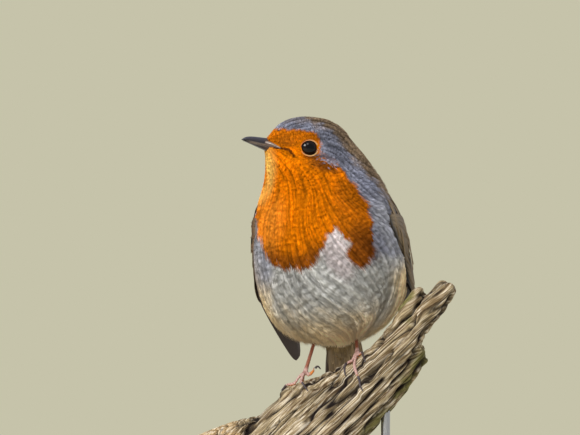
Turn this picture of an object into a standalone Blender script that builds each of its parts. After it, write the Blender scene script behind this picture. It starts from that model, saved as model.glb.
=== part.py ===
"""A life-size European robin that grips a cut length of weathered branch, on a plain display stand.

Metres, +Z up. The origin is the middle of the stand's underside. The robin's breast faces -Y, turned a
little towards -X, and its head looks over its right shoulder, towards -X.
"""

import math

import bmesh
import bpy
from mathutils import Matrix, Vector
from mathutils.bvhtree import BVHTree

MM = 0.001
GAP = 0.3 * MM  # the clearance between two pieces that meet

# Stand
BASE_LENGTH = 112 * MM
BASE_DEPTH = 84 * MM
BASE_THICKNESS = 10 * MM
BASE_CORNER = 12 * MM
BASE_EDGE = 1.5 * MM
ROD_RADIUS = 1.6 * MM
ROD_SEAT = 5 * MM  # how deep a rod sits in the base

# Robin
BODY_TURN = math.radians(-12)  # about Z, from facing -Y
HEAD_TURN = math.radians(-68)
HEAD_PITCH = math.radians(7)  # bill up
HEAD_CENTRE = Vector((-8.0, -8.5, 156.0)) * MM
HEAD_HALF_LENGTH = 16.0 * MM
HEAD_HALF_WIDTH = 12.7 * MM
HEAD_HALF_HEIGHT = 12.5 * MM
HEAD_ROUNDNESS = 2.25  # the power of the ball it is shaped from, 2 for a true one
EYE_RADIUS = 3.5 * MM
EYE_PLACE = Vector((4.4, 8.9, 0.4)) * MM  # forward, to the side and up from the head's centre
BILL_ROOT = 12.0 * MM  # forward of the head's centre
BILL_TIP = Vector((26.6, 0.0, 0.64)) * MM
TAIL_LENGTH = 58 * MM
TAIL_ROOT = Vector((2.2, 22.0, 97.0)) * MM
TAIL_TURN = math.radians(-4)  # about Z, from straight back
TAIL_SLOPE = math.radians(48)  # down from level
TARSUS_RADIUS = 0.85 * MM
TARSUS_SWELL = 1.35  # at the heel and the ankle
ANKLE_HEIGHT = 3.6 * MM  # along the leg from where the toes meet to where the foot is parted from it
TOE_RADIUS = 0.72 * MM
CLAW_RADIUS = 0.42 * MM
CLAW_TIP = 0.14 * MM
CLAW_START = 0.45 * MM  # beyond the end of the toe's centre line
CLAW_HEIGHT = 0.93 * MM  # of its centre line over the wood
KNUCKLE_LIFT = 0.8 * MM  # how far a toe arches up behind its first joint

# Triangle counts that the soft forms are brought down to
BODY_TRIANGLES = 2140
LEG_TRIANGLES = 660
PERCH_TRIANGLES = 1500

COLOURS = {
    "plumage_olive": ((0.16, 0.12, 0.075), 0.85, 0.0),
    "plumage_orange": ((0.72, 0.22, 0.02), 0.85, 0.0),
    "plumage_white": ((0.62, 0.58, 0.52), 0.9, 0.0),
    "flight_brown": ((0.085, 0.062, 0.048), 0.7, 0.0),
    "bill_horn": ((0.035, 0.028, 0.03), 0.35, 0.0),
    "eye_black": ((0.008, 0.006, 0.005), 0.05, 0.0),
    "leg_skin": ((0.36, 0.15, 0.085), 0.5, 0.0),
    "claw_horn": ((0.07, 0.06, 0.065), 0.35, 0.0),
    "weathered_wood": ((0.33, 0.26, 0.18), 0.9, 0.0),
    "stand_wood": ((0.05, 0.035, 0.025), 0.45, 0.0),
    "rod_steel": ((0.55, 0.55, 0.56), 0.3, 1.0),
}


# ---------------------------------------------------------------- scene helpers


def clear_scene():
    for obj in list(bpy.data.objects):
        bpy.data.objects.remove(obj)


def make_collection(name):
    collection = bpy.data.collections.new(name)
    bpy.context.scene.collection.children.link(collection)
    return collection


def material(name):
    colour, roughness, metallic = COLOURS[name]
    made = bpy.data.materials.get(name)
    if made is None:
        made = bpy.data.materials.new(name)
        made.use_nodes = True
        shader = made.node_tree.nodes["Principled BSDF"]
        shader.inputs["Base Color"].default_value = (*colour, 1)
        shader.inputs["Roughness"].default_value = roughness
        shader.inputs["Metallic"].default_value = metallic
        made.diffuse_color = (*colour, 1)
    return made


def add_object(name, mesh, collection, finish=None):
    obj = bpy.data.objects.new(name, mesh)
    collection.objects.link(obj)
    if finish:
        mesh.materials.clear()
        mesh.materials.append(material(finish))
        mesh.shade_smooth()
        mesh.set_sharp_from_angle(angle=math.radians(40))
    return obj


def hide(obj):
    """Makes obj a helper, such as a cutter, which is no part of the model."""
    obj.hide_render = True
    obj.display_type = "WIRE"
    return obj


def evaluated_mesh(obj):
    """The mesh of obj with its modifiers, or of a curve with its bevel, welded where caps meet the sides."""
    bpy.context.view_layer.update()
    graph = bpy.context.evaluated_depsgraph_get()
    mesh = bpy.data.meshes.new_from_object(obj.evaluated_get(graph))
    bm = bmesh.new()
    bm.from_mesh(mesh)
    bmesh.ops.remove_doubles(bm, verts=bm.verts, dist=0.01 * MM)
    bm.to_mesh(mesh)
    bm.free()
    mesh.transform(obj.matrix_world)
    return mesh


def joined_mesh(name, meshes):
    bm = bmesh.new()
    for mesh in meshes:
        bm.from_mesh(mesh)
    joined = bpy.data.meshes.new(name)
    bm.to_mesh(joined)
    bm.free()
    return joined


def cut(obj, cutter):
    modifier = obj.modifiers.new(cutter.name, "BOOLEAN")
    modifier.operation = "DIFFERENCE"
    modifier.solver = "EXACT"
    modifier.object = cutter


def melt_together(name, meshes, voxel, smoothing, triangles):
    """One soft closed mesh from overlapping ones, with about that many triangles."""
    obj = bpy.data.objects.new(name, joined_mesh(name, meshes))
    bpy.context.scene.collection.objects.link(obj)
    remesh = obj.modifiers.new("Remesh", "REMESH")
    remesh.mode = "VOXEL"
    remesh.voxel_size = voxel
    smooth = obj.modifiers.new("Smooth", "SMOOTH")
    smooth.factor = 0.5
    smooth.iterations = smoothing
    full = evaluated_mesh(obj)
    full.calc_loop_triangles()
    decimate = obj.modifiers.new("Decimate", "DECIMATE")
    decimate.ratio = min(1.0, triangles / len(full.loop_triangles))
    melted = evaluated_mesh(obj)
    bpy.data.objects.remove(obj)
    return melted


# ---------------------------------------------------------------- shape helpers


def spline(rows, t):
    """The row at t, from 0 to 1, on a Catmull-Rom curve through evenly spaced rows of numbers."""
    place = t * (len(rows) - 1)
    i = min(int(place), len(rows) - 2)
    u = place - i
    before, here, after, beyond = (
        rows[max(i - 1, 0)],
        rows[i],
        rows[i + 1],
        rows[min(i + 2, len(rows) - 1)],
    )
    return [
        0.5 * (2 * b + (c - a) * u + (2 * a - 5 * b + 4 * c - d) * u * u + (3 * b - 3 * c + d - a) * u**3)
        for a, b, c, d in zip(before, here, after, beyond)
    ]


def loft(name, rings):
    """A closed mesh through rings that all have the same number of points."""
    bm = bmesh.new()
    loops = [[bm.verts.new(point) for point in ring] for ring in rings]
    count = len(rings[0])
    for lower, upper in zip(loops, loops[1:]):
        for i in range(count):
            j = (i + 1) % count
            bm.faces.new((lower[i], lower[j], upper[j], upper[i]))
    bm.faces.new(loops[0])
    bm.faces.new(loops[-1])
    bmesh.ops.recalc_face_normals(bm, faces=bm.faces)
    mesh = bpy.data.meshes.new(name)
    bm.to_mesh(mesh)
    bm.free()
    return mesh


def turned(angle):
    return Matrix.Rotation(angle, 3, "Z")


def tube(name, points, radii, sides=2):
    """A curve with round section and filled caps through points, as a welded mesh."""
    curve = bpy.data.curves.new(name, "CURVE")
    curve.dimensions = "3D"
    curve.bevel_depth = 1.0
    curve.bevel_resolution = sides
    curve.use_fill_caps = True
    line = curve.splines.new("POLY")
    line.points.add(len(points) - 1)
    for point, place, radius in zip(line.points, points, radii):
        point.co = (*place, 1)
        point.radius = radius
    obj = bpy.data.objects.new(name, curve)
    bpy.context.scene.collection.objects.link(obj)
    mesh = evaluated_mesh(obj)
    bpy.data.objects.remove(obj)
    return mesh


def smooth_path(points, count):
    """count points along a smooth curve through points."""
    rows = [tuple(p) for p in points]
    return [Vector(spline(rows, i / (count - 1))) for i in range(count)]


# ---------------------------------------------------------------- trunk, neck and head

# Level sections of the body from the belly up. Each is a height, its middle, the half width across the bird,
# how far it reaches forward and back, all in mm, and the turn of the section in degrees.
BODY_SECTIONS = (
    # z, x, y, half width, forward, back, turn
    (86.8, -1.5, 3.0, 5.0, 5.0, 8.0, -12),  # under the belly
    (88.6, -1.3, 3.0, 12.0, 11.0, 14.0, -12),
    (92.0, -0.8, 2.5, 18.0, 18.0, 19.5, -12),
    (97.0, 0.0, 1.5, 23.0, 24.0, 23.5, -12),  # flanks
    (106.0, 0.4, 0.0, 27.0, 28.5, 25.0, -12),  # belly
    (117.0, 0.0, -1.5, 28.2, 29.8, 23.5, -12),  # breast
    (127.5, -0.9, -3.0, 27.4, 28.0, 21.5, -12),
    (136.5, -2.0, -4.5, 24.8, 23.2, 22.0, -14),  # shoulders
    (144.0, -4.0, -6.0, 20.6, 19.0, 20.6, -24),
    (150.0, -5.6, -7.2, 17.0, 18.8, 20.8, -44),  # throat and nape
    (156.0, -7.0, -8.0, 13.0, 17.8, 18.6, -62),
    (162.0, -7.5, -8.0, 8.0, 9.0, 13.4, -68),  # inside the head
)


def body_ring(z, x, y, half_width, forward, back, turn, count=28):
    roundness = 2.15  # the superellipse's power
    ring = []
    for i in range(count):
        angle = 2 * math.pi * i / count
        across, along = math.cos(angle), math.sin(angle)
        reach = back if along > 0 else forward
        point = Vector(
            (
                math.copysign(abs(across) ** (2 / roundness), across) * half_width,
                math.copysign(abs(along) ** (2 / roundness), along) * reach,
                0,
            )
        )
        ring.append((turned(math.radians(turn)) @ point + Vector((x, y, z))) * MM)
    return ring


def body_column():
    rings = [body_ring(*spline(BODY_SECTIONS, i / 33)) for i in range(34)]
    return loft("body_column", rings)


def head_matrix():
    """From the head's own frame (+X towards the bill, +Y the bird's left, +Z up) to the model's."""
    forward = Matrix.Rotation(HEAD_TURN - math.pi / 2, 4, "Z")
    pitch = Matrix.Rotation(-HEAD_PITCH, 4, "Y")
    return Matrix.Translation(HEAD_CENTRE) @ forward @ pitch


def head_form():
    """A ball shaped into a robin's head: steep forehead, full cheeks, narrow towards the bill."""
    bm = bmesh.new()
    bmesh.ops.create_uvsphere(bm, u_segments=32, v_segments=20, radius=1.0)
    for vert in bm.verts:
        u, v, w = vert.co / sum(abs(c) ** HEAD_ROUNDNESS for c in vert.co) ** (1 / HEAD_ROUNDNESS)
        narrowing = 1 - 0.30 * max(0.0, u) ** 1.3
        forehead = 1 - (0.04 if w > 0 else 0.10) * max(0.0, u) ** 2
        nape = 1 + 0.12 * max(0.0, -u) * max(0.0, -w)
        vert.co = (
            u * HEAD_HALF_LENGTH * nape,
            v * HEAD_HALF_WIDTH * narrowing,
            w * HEAD_HALF_HEIGHT * forehead,
        )
    mesh = bpy.data.meshes.new("head_form")
    bm.to_mesh(mesh)
    bm.free()
    mesh.transform(head_matrix())
    return mesh


def uneven_oval(along, half_width, up, down, lift=0.0, count=20):
    """A ring across the X axis, in mm, that reaches a different way up and down."""
    ring = []
    for k in range(count):
        a = 2 * math.pi * k / count
        reach = up if math.sin(a) > 0 else down
        ring.append(Vector((along, half_width * math.cos(a), reach * math.sin(a) + lift)) * MM)
    return ring


def lore_form():
    """The feathered cone that leads from the face to the bill's root."""
    stations = (
        # forward, half width, up, down
        (6.0, 9.0, 9.4, 9.6),
        (11.0, 7.0, 7.4, 7.4),
        (14.8, 4.6, 5.0, 4.6),
        (17.2, 2.6, 2.9, 2.7),
    )
    rings = []
    for i in range(9):
        forward, half_width, up, down = spline(stations, i / 8)
        rings.append(uneven_oval(forward, half_width, up, down, lift=0.3))
    mesh = loft("lore_form", rings)
    mesh.transform(head_matrix())
    return mesh


def tail_frame():
    """From the tail's own frame (+X along the tail, +Z its upper side) to the model's."""
    slope = Matrix.Rotation(TAIL_SLOPE, 4, "Y")
    return Matrix.Translation(TAIL_ROOT) @ Matrix.Rotation(TAIL_TURN + math.pi / 2, 4, "Z") @ slope


def rump_form():
    """The coverts that lead from the trunk to the tail's root, above and below."""
    stations = (
        # along the tail, half width, up, down
        (-12.0, 15.0, 11.0, 9.0),
        (-2.0, 12.5, 7.5, 9.0),
        (7.0, 8.6, 4.6, 6.6),
        (15.0, 5.6, 2.6, 3.8),
        (21.0, 3.4, 1.5, 2.0),
    )
    rings = []
    for i in range(13):
        along, half_width, up, down = spline(stations, i / 12)
        rings.append(uneven_oval(along, half_width, up, down))
    mesh = loft("rump_form", rings)
    mesh.transform(tail_frame())
    return mesh


def far_side_of(name, point, normal):
    """A big box that cuts away all beyond the plane through point, and half of GAP before it."""
    size = 300 * MM
    bm = bmesh.new()
    bmesh.ops.create_cube(bm, size=size)
    mesh = bpy.data.meshes.new(name)
    bm.to_mesh(mesh)
    bm.free()
    aim = Vector(normal).normalized()
    place = Vector(point) + aim * (size / 2 - GAP / 2)
    mesh.transform(Matrix.Translation(place) @ aim.to_track_quat("Z", "Y").to_matrix().to_4x4())
    return hide(add_object(name, mesh, CUTTERS))


def flesh_parts():
    """Head, neck and trunk, modelled whole and parted with two thin cuts."""
    whole = melt_together(
        "body_form",
        [body_column(), head_form(), lore_form(), rump_form()],
        voxel=1.3 * MM,
        smoothing=9,
        triangles=BODY_TRIANGLES,
    )
    jaw = (Vector((-7.0, -7.5, 148.6)) * MM, (0.30, 0.12, 1.0))
    shoulder = (Vector((-3.0, -4.0, 138.5)) * MM, (0.12, -0.22, 1.0))
    above_jaw = far_side_of("above_jaw", *jaw)
    below_jaw = far_side_of("below_jaw", jaw[0], [-n for n in jaw[1]])
    above_shoulder = far_side_of("above_shoulder", *shoulder)
    below_shoulder = far_side_of("below_shoulder", shoulder[0], [-n for n in shoulder[1]])
    head = add_object("head", whole.copy(), MODEL, "plumage_olive")
    neck = add_object("neck", whole.copy(), MODEL, "plumage_orange")
    trunk = add_object("trunk", whole.copy(), MODEL, "plumage_white")
    cut(head, below_jaw)
    cut(neck, above_jaw)
    cut(neck, below_shoulder)
    cut(trunk, above_shoulder)
    return head, neck, trunk


# ---------------------------------------------------------------- eyes and bill


def eye_mesh(side, radius):
    bm = bmesh.new()
    bmesh.ops.create_uvsphere(bm, u_segments=16, v_segments=8, radius=radius)
    mesh = bpy.data.meshes.new("eye")
    bm.to_mesh(mesh)
    bm.free()
    place = Vector((EYE_PLACE.x, EYE_PLACE.y * side, EYE_PLACE.z))
    mesh.transform(head_matrix() @ Matrix.Translation(place))
    return mesh


def add_eyes(head):
    for name, side in (("eye_left", 1), ("eye_right", -1)):
        add_object(name, eye_mesh(side, EYE_RADIUS), MODEL, "eye_black")
        cut(head, hide(add_object(name + "_socket", eye_mesh(side, EYE_RADIUS + GAP), CUTTERS)))


def bill_lines(d):
    """Heights of the bill's culmen, gape and lower edge, and its half width, d mm from the tip."""
    tip_height = BILL_TIP.z / MM
    culmen = tip_height + 1.9 * (1 - math.exp(-d / 1.5))
    gape = tip_height - 0.95 * math.sin(math.pi / 2 * min(d / 9, 1)) ** 1.5
    lower_edge = tip_height - 0.28 * min(d, 9.8)
    half_width = 2.3 * math.sin(math.pi / 2 * min(d / 14, 1)) ** 0.8
    return culmen, gape, lower_edge, half_width


def mandible(name, upper, grow=0.0):
    """Half of the bill, flat along the gape, in mm from its tip and then moved to the head."""
    reach = (BILL_TIP.x - BILL_ROOT) / MM
    shortfall = 0.35 if upper else 0.75  # how far short of the tip's point it is rounded off
    parting = GAP / MM / 2 - grow
    steps, half_count = 10, 7
    rings = []
    for i in range(steps):
        s = (i / (steps - 1)) ** 1.5
        d = shortfall + (reach - shortfall) * s
        culmen, gape, lower_edge, half_width = bill_lines(d)
        depth = max((culmen - gape if upper else gape - lower_edge) - GAP / MM / 2, 0.2)
        along = BILL_TIP.x / MM - d + grow * (1 - 2 * s)
        ring = []
        for k in range(half_count):
            a = math.pi * k / (half_count - 1)
            lift = parting + (depth + 2 * grow) * math.sin(a) ** 0.8 * (0 < k < half_count - 1)
            height = gape + (lift if upper else -lift)
            ring.append(Vector((along, (half_width + grow) * math.cos(a), height)) * MM)
        rings.append(ring)
    mesh = loft(name, rings)
    mesh.transform(head_matrix())
    return mesh


def add_bill(head):
    for name, upper in (("bill_upper", True), ("bill_lower", False)):
        add_object(name, mandible(name, upper), MODEL, "bill_horn")
        cut(head, hide(add_object(name + "_seat", mandible(name, upper, GAP / MM), CUTTERS)))


# ---------------------------------------------------------------- wings and tail

# The folded right wing, in the bird's own frame in mm: its middle line from the bend of the wing to the tip,
# the way its outer face looks, how far it reaches to its upper and lower edge, and its thickness.
WING_STATIONS = (
    # x, y, z, outward x, y, z, upper, lower, thickness
    (-22.8, -15.0, 129.5, -0.86, -0.50, 0.12, 3.5, 3.5, 2.2),  # bend of the wing
    (-25.9, -8.0, 125.5, -0.93, -0.33, 0.16, 9.0, 7.0, 3.4),
    (-27.3, 1.0, 117.5, -0.98, -0.02, 0.20, 12.5, 8.5, 3.6),  # coverts
    (-27.2, 11.0, 108.5, -0.94, 0.26, 0.22, 13.0, 7.5, 3.0),
    (-25.6, 20.5, 99.5, -0.88, 0.40, 0.26, 10.0, 5.5, 2.2),  # secondaries end
    (-23.4, 29.5, 90.8, -0.88, 0.34, 0.32, 5.0, 4.2, 1.6),
    (-21.6, 37.0, 83.6, -0.88, 0.30, 0.36, 2.4, 2.6, 1.1),
    (-21.0, 39.6, 81.0, -0.88, 0.30, 0.36, 0.9, 1.0, 0.8),  # tip of the primaries
)


def wing_mesh(side, grow=0.0):
    steps, half_count = 14, 5
    rings = []
    for i in range(steps):
        t = i / (steps - 1)
        row = spline(WING_STATIONS, t)
        ahead = spline(WING_STATIONS, min(t + 0.02, 1.0))
        behind = spline(WING_STATIONS, max(t - 0.02, 0.0))
        along = (Vector(ahead[:3]) - Vector(behind[:3])).normalized()
        out = Vector(row[3:6]).normalized()
        out = (out - along * out.dot(along)).normalized()
        across = along.cross(out).normalized()
        if across.z < 0:
            across = -across
        upper, lower, thickness = row[6] + grow, row[7] + grow, row[8] / 2 + grow
        end_shift = along * grow * (2 * t - 1)
        ring = []
        for face in (1, -1):
            for k in range(half_count):
                a = -1 + 2 * (k + 0.5) / half_count
                a = a if face > 0 else -a
                reach = upper if a > 0 else lower
                crown = math.sqrt(max(0.0, 1 - a * a)) * 0.85 + 0.15
                bend = (a * reach) ** 2 / 52.0
                lift = face * thickness * crown - bend
                place = Vector(row[:3]) + across * a * reach + out * lift + end_shift
                ring.append(turned(BODY_TURN) @ Vector((place.x * -side, place.y, place.z)) * MM)
        rings.append(ring)
    return loft("wing", rings)


def add_wings(trunk):
    for name, side in (("wing_left", 1), ("wing_right", -1)):
        add_object(name, wing_mesh(side), MODEL, "flight_brown")
        cut(trunk, hide(add_object(name + "_seat", wing_mesh(side, GAP / MM), CUTTERS)))


TAIL_STATIONS = (
    # share of the length, half width, thickness, droop of the edges, in mm
    (0.00, 3.6, 2.6, 0.9),
    (0.25, 5.4, 2.4, 0.9),
    (0.50, 6.4, 2.1, 0.8),
    (0.75, 7.4, 1.7, 0.7),
    (0.93, 8.0, 1.3, 0.6),
    (1.00, 7.6, 1.0, 0.5),
)


def tail_mesh(grow=0.0):
    """The closed tail: a flat fan, a little arched across, with a shallow notch at its end."""
    rings = []
    steps, half_count = 10, 6
    for i in range(steps):
        share, half_width, thickness, droop = spline(TAIL_STATIONS, i / (steps - 1))
        ring = []
        for face in (1, -1):
            for k in range(half_count):
                a = (-1 + 2 * (k + 0.5) / half_count) * face
                notch = 1.6 * (1 - abs(a)) * share**6
                lift = face * (thickness / 2 + grow) * (1 - 0.55 * a * a) - droop * a * a
                along = TAIL_LENGTH / MM * share - notch + grow * (2 * share - 1)
                ring.append(Vector((along, (half_width + grow) * a, lift)) * MM)
        rings.append(ring)
    mesh = loft("tail", rings)
    mesh.transform(tail_frame())
    return mesh


def add_tail(trunk):
    add_object("tail", tail_mesh(), MODEL, "flight_brown")
    cut(trunk, hide(add_object("tail_seat", tail_mesh(GAP / MM), CUTTERS)))


# ---------------------------------------------------------------- perch

# Each splinter of the broken branch, seen from the front in mm: its upper and its lower edge as (x, z)
# points from the sawn end to the broken tip. Then the y of its middle and its half depth, at those places.
SPLINTERS = {
    "tan_flake": (
        ((-49.5, 54.0), (-41.5, 57.6), (-34.8, 60.0), (-28.2, 61.6)),
        ((-40.0, 44.6), (-36.0, 48.0), (-31.0, 53.0), (-26.5, 58.5)),
        (5, 4, 3, 2),
        (12, 10, 8, 4),
    ),
    "left_ridge": (
        ((-44.0, 49.0), (-30.0, 58.0), (-22.6, 65.8), (-16.2, 72.0)),
        ((-36.0, 41.0), (-24.0, 52.0), (-17.0, 61.0), (-12.5, 69.5)),
        (6, 5, 3, 1),
        (13, 12, 9, 4),
    ),
    "main_slab": (
        ((-40.0, 45.4), (-17.0, 69.5), (-6.0, 75.0), (5.4, 81.2)),
        ((-27.0, 33.0), (-8.0, 54.0), (3.0, 66.0), (9.6, 77.0)),
        (2, 0, -3, -7),
        (14, 13, 10, 5),
    ),
    "mossy_spike": (
        ((-36.0, 42.0), (-4.0, 69.6), (13.6, 86.4), (29.4, 106.6)),
        ((-22.0, 28.6), (8.0, 58.0), (20.0, 77.0), (33.4, 106.0)),
        (0, -5, -12, -20),
        (14, 12, 8, 2.6),
    ),
    "pale_spike": (
        ((-31.0, 37.5), (4.0, 69.0), (24.0, 92.4), (38.4, 109.0)),
        ((-18.0, 25.0), (13.0, 55.0), (30.0, 83.5), (43.6, 107.0)),
        (-5, -11, -18, -25),
        (12, 10, 7, 3.0),
    ),
    "lower_chunk": (
        ((-28.0, 34.5), (8.0, 62.0), (22.0, 80.0), (32.0, 87.4)),
        ((-20.0, 26.5), (5.0, 46.6), (22.2, 64.4), (34.6, 81.6)),
        (-2, -6, -11, -16),
        (13, 12, 9, 5),
    ),
}
WOOD_SIDES = 10
BREAK_SLANT = 2.0  # how unevenly a splinter's tip is broken, in mm along the grain


def splinter_mesh(name):
    """A long prism of uneven section that bends with the grain and ends in a slanted break."""
    upper_edge, lower_edge, middles, half_depths = SPLINTERS[name]
    phase = sum(map(ord, name)) % 7
    steps = 16
    rings = []
    for i in range(steps):
        t = i / (steps - 1)
        top, low = Vector(spline(upper_edge, t)), Vector(spline(lower_edge, t))
        y, half_depth = (spline([(v,) for v in values], t)[0] for values in (middles, half_depths))
        grain = (top - low).orthogonal().normalized()
        ring = []
        for k in range(WOOD_SIDES):
            a = 2 * math.pi * k / WOOD_SIDES
            rough = 1 + 0.08 * math.sin(3 * k + phase) + 0.05 * math.sin(9 * t + 2.1 * k + phase)
            slant = grain * BREAK_SLANT * math.sin(2 * k + phase) * t**8
            flat = (top + low) / 2 + (top - low) / 2 * math.cos(a) + slant
            ring.append(Vector((flat.x, y + half_depth * rough * math.sin(a), flat.y)) * MM)
        rings.append(ring)
    return loft(name, rings)


def perch_form():
    splinters = [splinter_mesh(name) for name in SPLINTERS]
    return melt_together("perch_form", splinters, voxel=1.1 * MM, smoothing=2, triangles=PERCH_TRIANGLES)


def surface_finder(mesh):
    bm = bmesh.new()
    bm.from_mesh(mesh)
    tree = BVHTree.FromBMesh(bm)
    bm.free()
    return tree


# ---------------------------------------------------------------- legs, toes and claws

# Feet in mm. A toe has two points near the wood, where it is laid on it, and its claw goes on from there
# with three more. The raised toe lies where its points are.
RAISED_TOE = "raised_inner"
LEFT_TOES = {
    "inner": (
        ((7.2, -9.5, 81.0), (5.6, -10.0, 79.6)),
        ((5.0, -11.2, 78.6), (4.6, -12.5, 77.0), (5.4, -14.0, 75.6)),
    ),
    "middle": (
        ((8.8, -14.5, 79.0), (9.6, -17.8, 75.8)),
        ((9.9, -18.2, 74.6), (10.5, -18.8, 72.2), (11.6, -20.5, 70.2)),
    ),
    "outer": (
        ((10.2, -9.8, 82.6), (11.3, -11.5, 83.6)),
        ((11.9, -12.5, 83.2), (12.7, -14.5, 81.9), (13.2, -17.0, 80.2)),
    ),
    "hind": (
        ((8.8, -5.0, 80.8), (8.2, -2.6, 78.8)),
        ((8.1, -1.6, 77.6), (7.8, -0.8, 76.0), (7.4, -0.2, 74.6)),
    ),
}
RIGHT_TOES = {
    "outer": (
        ((-12.9, -0.6, 72.3), (-15.6, 1.5, 71.8)),
        ((-16.3, 1.0, 71.7), (-17.0, -0.5, 70.9), (-17.4, -1.2, 69.8)),
    ),
    "middle": (
        ((-10.7, -3.0, 73.0), (-10.3, -5.5, 72.4)),
        ((-10.0, -7.0, 72.2), (-9.3, -9.0, 71.4), (-8.2, -11.3, 70.0)),
    ),
    RAISED_TOE: (
        ((-8.3, -1.6, 75.9), (-6.2, -0.9, 78.0)),
        ((-5.6, -0.7, 78.9), (-4.9, -0.4, 79.1), (-4.1, 0.0, 78.1)),
    ),
    "hind": (
        ((-10.2, 1.5, 72.9), (-9.8, 4.5, 72.0)),
        ((-9.6, 5.8, 71.3), (-9.4, 7.0, 70.0), (-9.2, 8.0, 68.6)),
    ),
}
FEET = {
    # heel inside the belly, ankle, toes
    "left": ((8.2, 7.0, 96.5), (9.0, -8.6, 84.0), LEFT_TOES),
    "right": ((-3.6, 8.0, 96.5), (-9.7, -1.0, 76.6), RIGHT_TOES),
}


def laid_on(surface, place, height):
    """The point at that height over the wood's nearest place."""
    hit, normal, _, _ = surface.find_nearest(Vector(place) * MM)
    return hit + normal * height


def toe_and_claw(surface, root, toe_name, toe_places, claw_places):
    """Centre lines of a toe, from root, and of its claw."""
    if toe_name == RAISED_TOE:
        toe_points = [Vector(place) * MM for place in toe_places]
        claw_points = [Vector(place) * MM for place in claw_places]
    else:
        toe_points = [laid_on(surface, place, TOE_RADIUS + GAP) for place in toe_places]
        claw_points = [laid_on(surface, place, CLAW_HEIGHT) for place in claw_places]
    knuckle = (root + toe_points[0]) / 2 + Vector((0, 0, KNUCKLE_LIFT))
    toe = smooth_path([root, knuckle, *toe_points], 10)
    claw_root = toe[-1] + (claw_points[0] - toe[-1]).normalized() * CLAW_START
    return toe, smooth_path([claw_root, *claw_points], 7)


def toe_radius(t):
    """A toe's radius along it, with pads at its joints."""
    return TOE_RADIUS * (1.0 + 0.12 * math.sin(9.5 * t + 0.6) - 0.16 * t)


def add_leg(side, surface, trunk):
    heel, ankle, toes = FEET[side]
    heel, ankle = Vector(heel) * MM, Vector(ankle) * MM
    line = [heel.lerp(ankle, t) for t in (0, 0.35, 0.7, 0.92, 1.0)]
    swells = (TARSUS_SWELL, 1.0, 0.95, 1.1, TARSUS_SWELL)
    tubes = [tube("tarsus", line, [TARSUS_RADIUS * swell for swell in swells])]
    claws = {}
    for toe_name, (toe_places, claw_places) in toes.items():
        toe, claw = toe_and_claw(surface, ankle, toe_name, toe_places, claw_places)
        count = len(toe) - 1
        tubes.append(tube(toe_name, toe, [toe_radius(i / count) for i in range(count + 1)]))
        claws[toe_name.removeprefix("raised_")] = claw
    whole = melt_together(f"leg_{side}", tubes, voxel=0.28 * MM, smoothing=2, triangles=LEG_TRIANGLES)
    parting = ankle + (heel - ankle).normalized() * ANKLE_HEIGHT
    shank = add_object(f"leg_{side}", whole.copy(), MODEL, "leg_skin")
    foot = add_object(f"foot_{side}", whole.copy(), MODEL, "leg_skin")
    cut(shank, far_side_of(f"below_ankle_{side}", parting, (0, 0, -1)))
    cut(foot, far_side_of(f"above_ankle_{side}", parting, (0, 0, 1)))
    seat_radius = TARSUS_RADIUS * TARSUS_SWELL + GAP
    seat_top = heel + (heel - ankle).normalized() * GAP
    seat = tube("seat", [seat_top, ankle], [seat_radius, seat_radius], sides=4)
    cut(trunk, hide(add_object(f"leg_{side}_seat", seat, CUTTERS)))
    for toe_name, claw in claws.items():
        count = len(claw) - 1
        radii = [CLAW_RADIUS + (CLAW_TIP - CLAW_RADIUS) * (i / count) ** 1.3 for i in range(count + 1)]
        add_object(f"claw_{side}_{toe_name}", tube("claw", claw, radii, sides=1), MODEL, "claw_horn")


# ---------------------------------------------------------------- stand

RODS = {
    # (x, y) and the height of its top, in mm
    "stand_rod_low": ((-15.0, 0.0), 40.0),
    "stand_rod_high": ((19.0, -12.0), 66.0),
}


def rod_mesh(name, grow=0.0):
    (x, y), top = RODS[name]
    low = BASE_THICKNESS - ROD_SEAT - grow
    high = top * MM + grow
    radius = ROD_RADIUS + grow
    bm = bmesh.new()
    bmesh.ops.create_cone(bm, cap_ends=True, segments=20, radius1=radius, radius2=radius, depth=high - low)
    mesh = bpy.data.meshes.new(name)
    bm.to_mesh(mesh)
    bm.free()
    mesh.transform(Matrix.Translation((x * MM, y * MM, (low + high) / 2)))
    return mesh


def add_stand(perch):
    bpy.ops.mesh.primitive_cube_add(size=1, location=(0, 0, BASE_THICKNESS / 2))
    base = bpy.context.object
    base.name = "stand_base"
    base.scale = (BASE_LENGTH, BASE_DEPTH, BASE_THICKNESS)
    bpy.ops.object.transform_apply(location=True, scale=True)
    for collection in list(base.users_collection):
        collection.objects.unlink(base)
    MODEL.objects.link(base)
    bm = bmesh.new()
    bm.from_mesh(base.data)
    upright = [e for e in bm.edges if abs(e.verts[0].co.z - e.verts[1].co.z) > BASE_THICKNESS / 2]
    bmesh.ops.bevel(bm, geom=upright, offset=BASE_CORNER, segments=6, affect="EDGES", profile=0.5)
    rim = [e for e in bm.edges if min(v.co.z for v in e.verts) > BASE_THICKNESS - 0.1 * MM]
    bmesh.ops.bevel(bm, geom=rim, offset=BASE_EDGE, segments=2, affect="EDGES", profile=0.5)
    bm.to_mesh(base.data)
    bm.free()
    base.data.materials.append(material("stand_wood"))
    for name in RODS:
        add_object(name, rod_mesh(name), MODEL, "rod_steel")
        seat = hide(add_object(name + "_seat", rod_mesh(name, GAP), CUTTERS))
        cut(base, seat)
        cut(perch, seat)


# ---------------------------------------------------------------- the model

clear_scene()
MODEL = make_collection("robin_on_perch")
CUTTERS = make_collection("cutters")

perch_mesh = perch_form()
perch_surface = surface_finder(perch_mesh)
perch = add_object("perch_branch", perch_mesh, MODEL, "weathered_wood")
head, neck, trunk = flesh_parts()
add_eyes(head)
add_bill(head)
add_wings(trunk)
add_tail(trunk)
for leg_side in FEET:
    add_leg(leg_side, perch_surface, trunk)
add_stand(perch)
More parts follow.
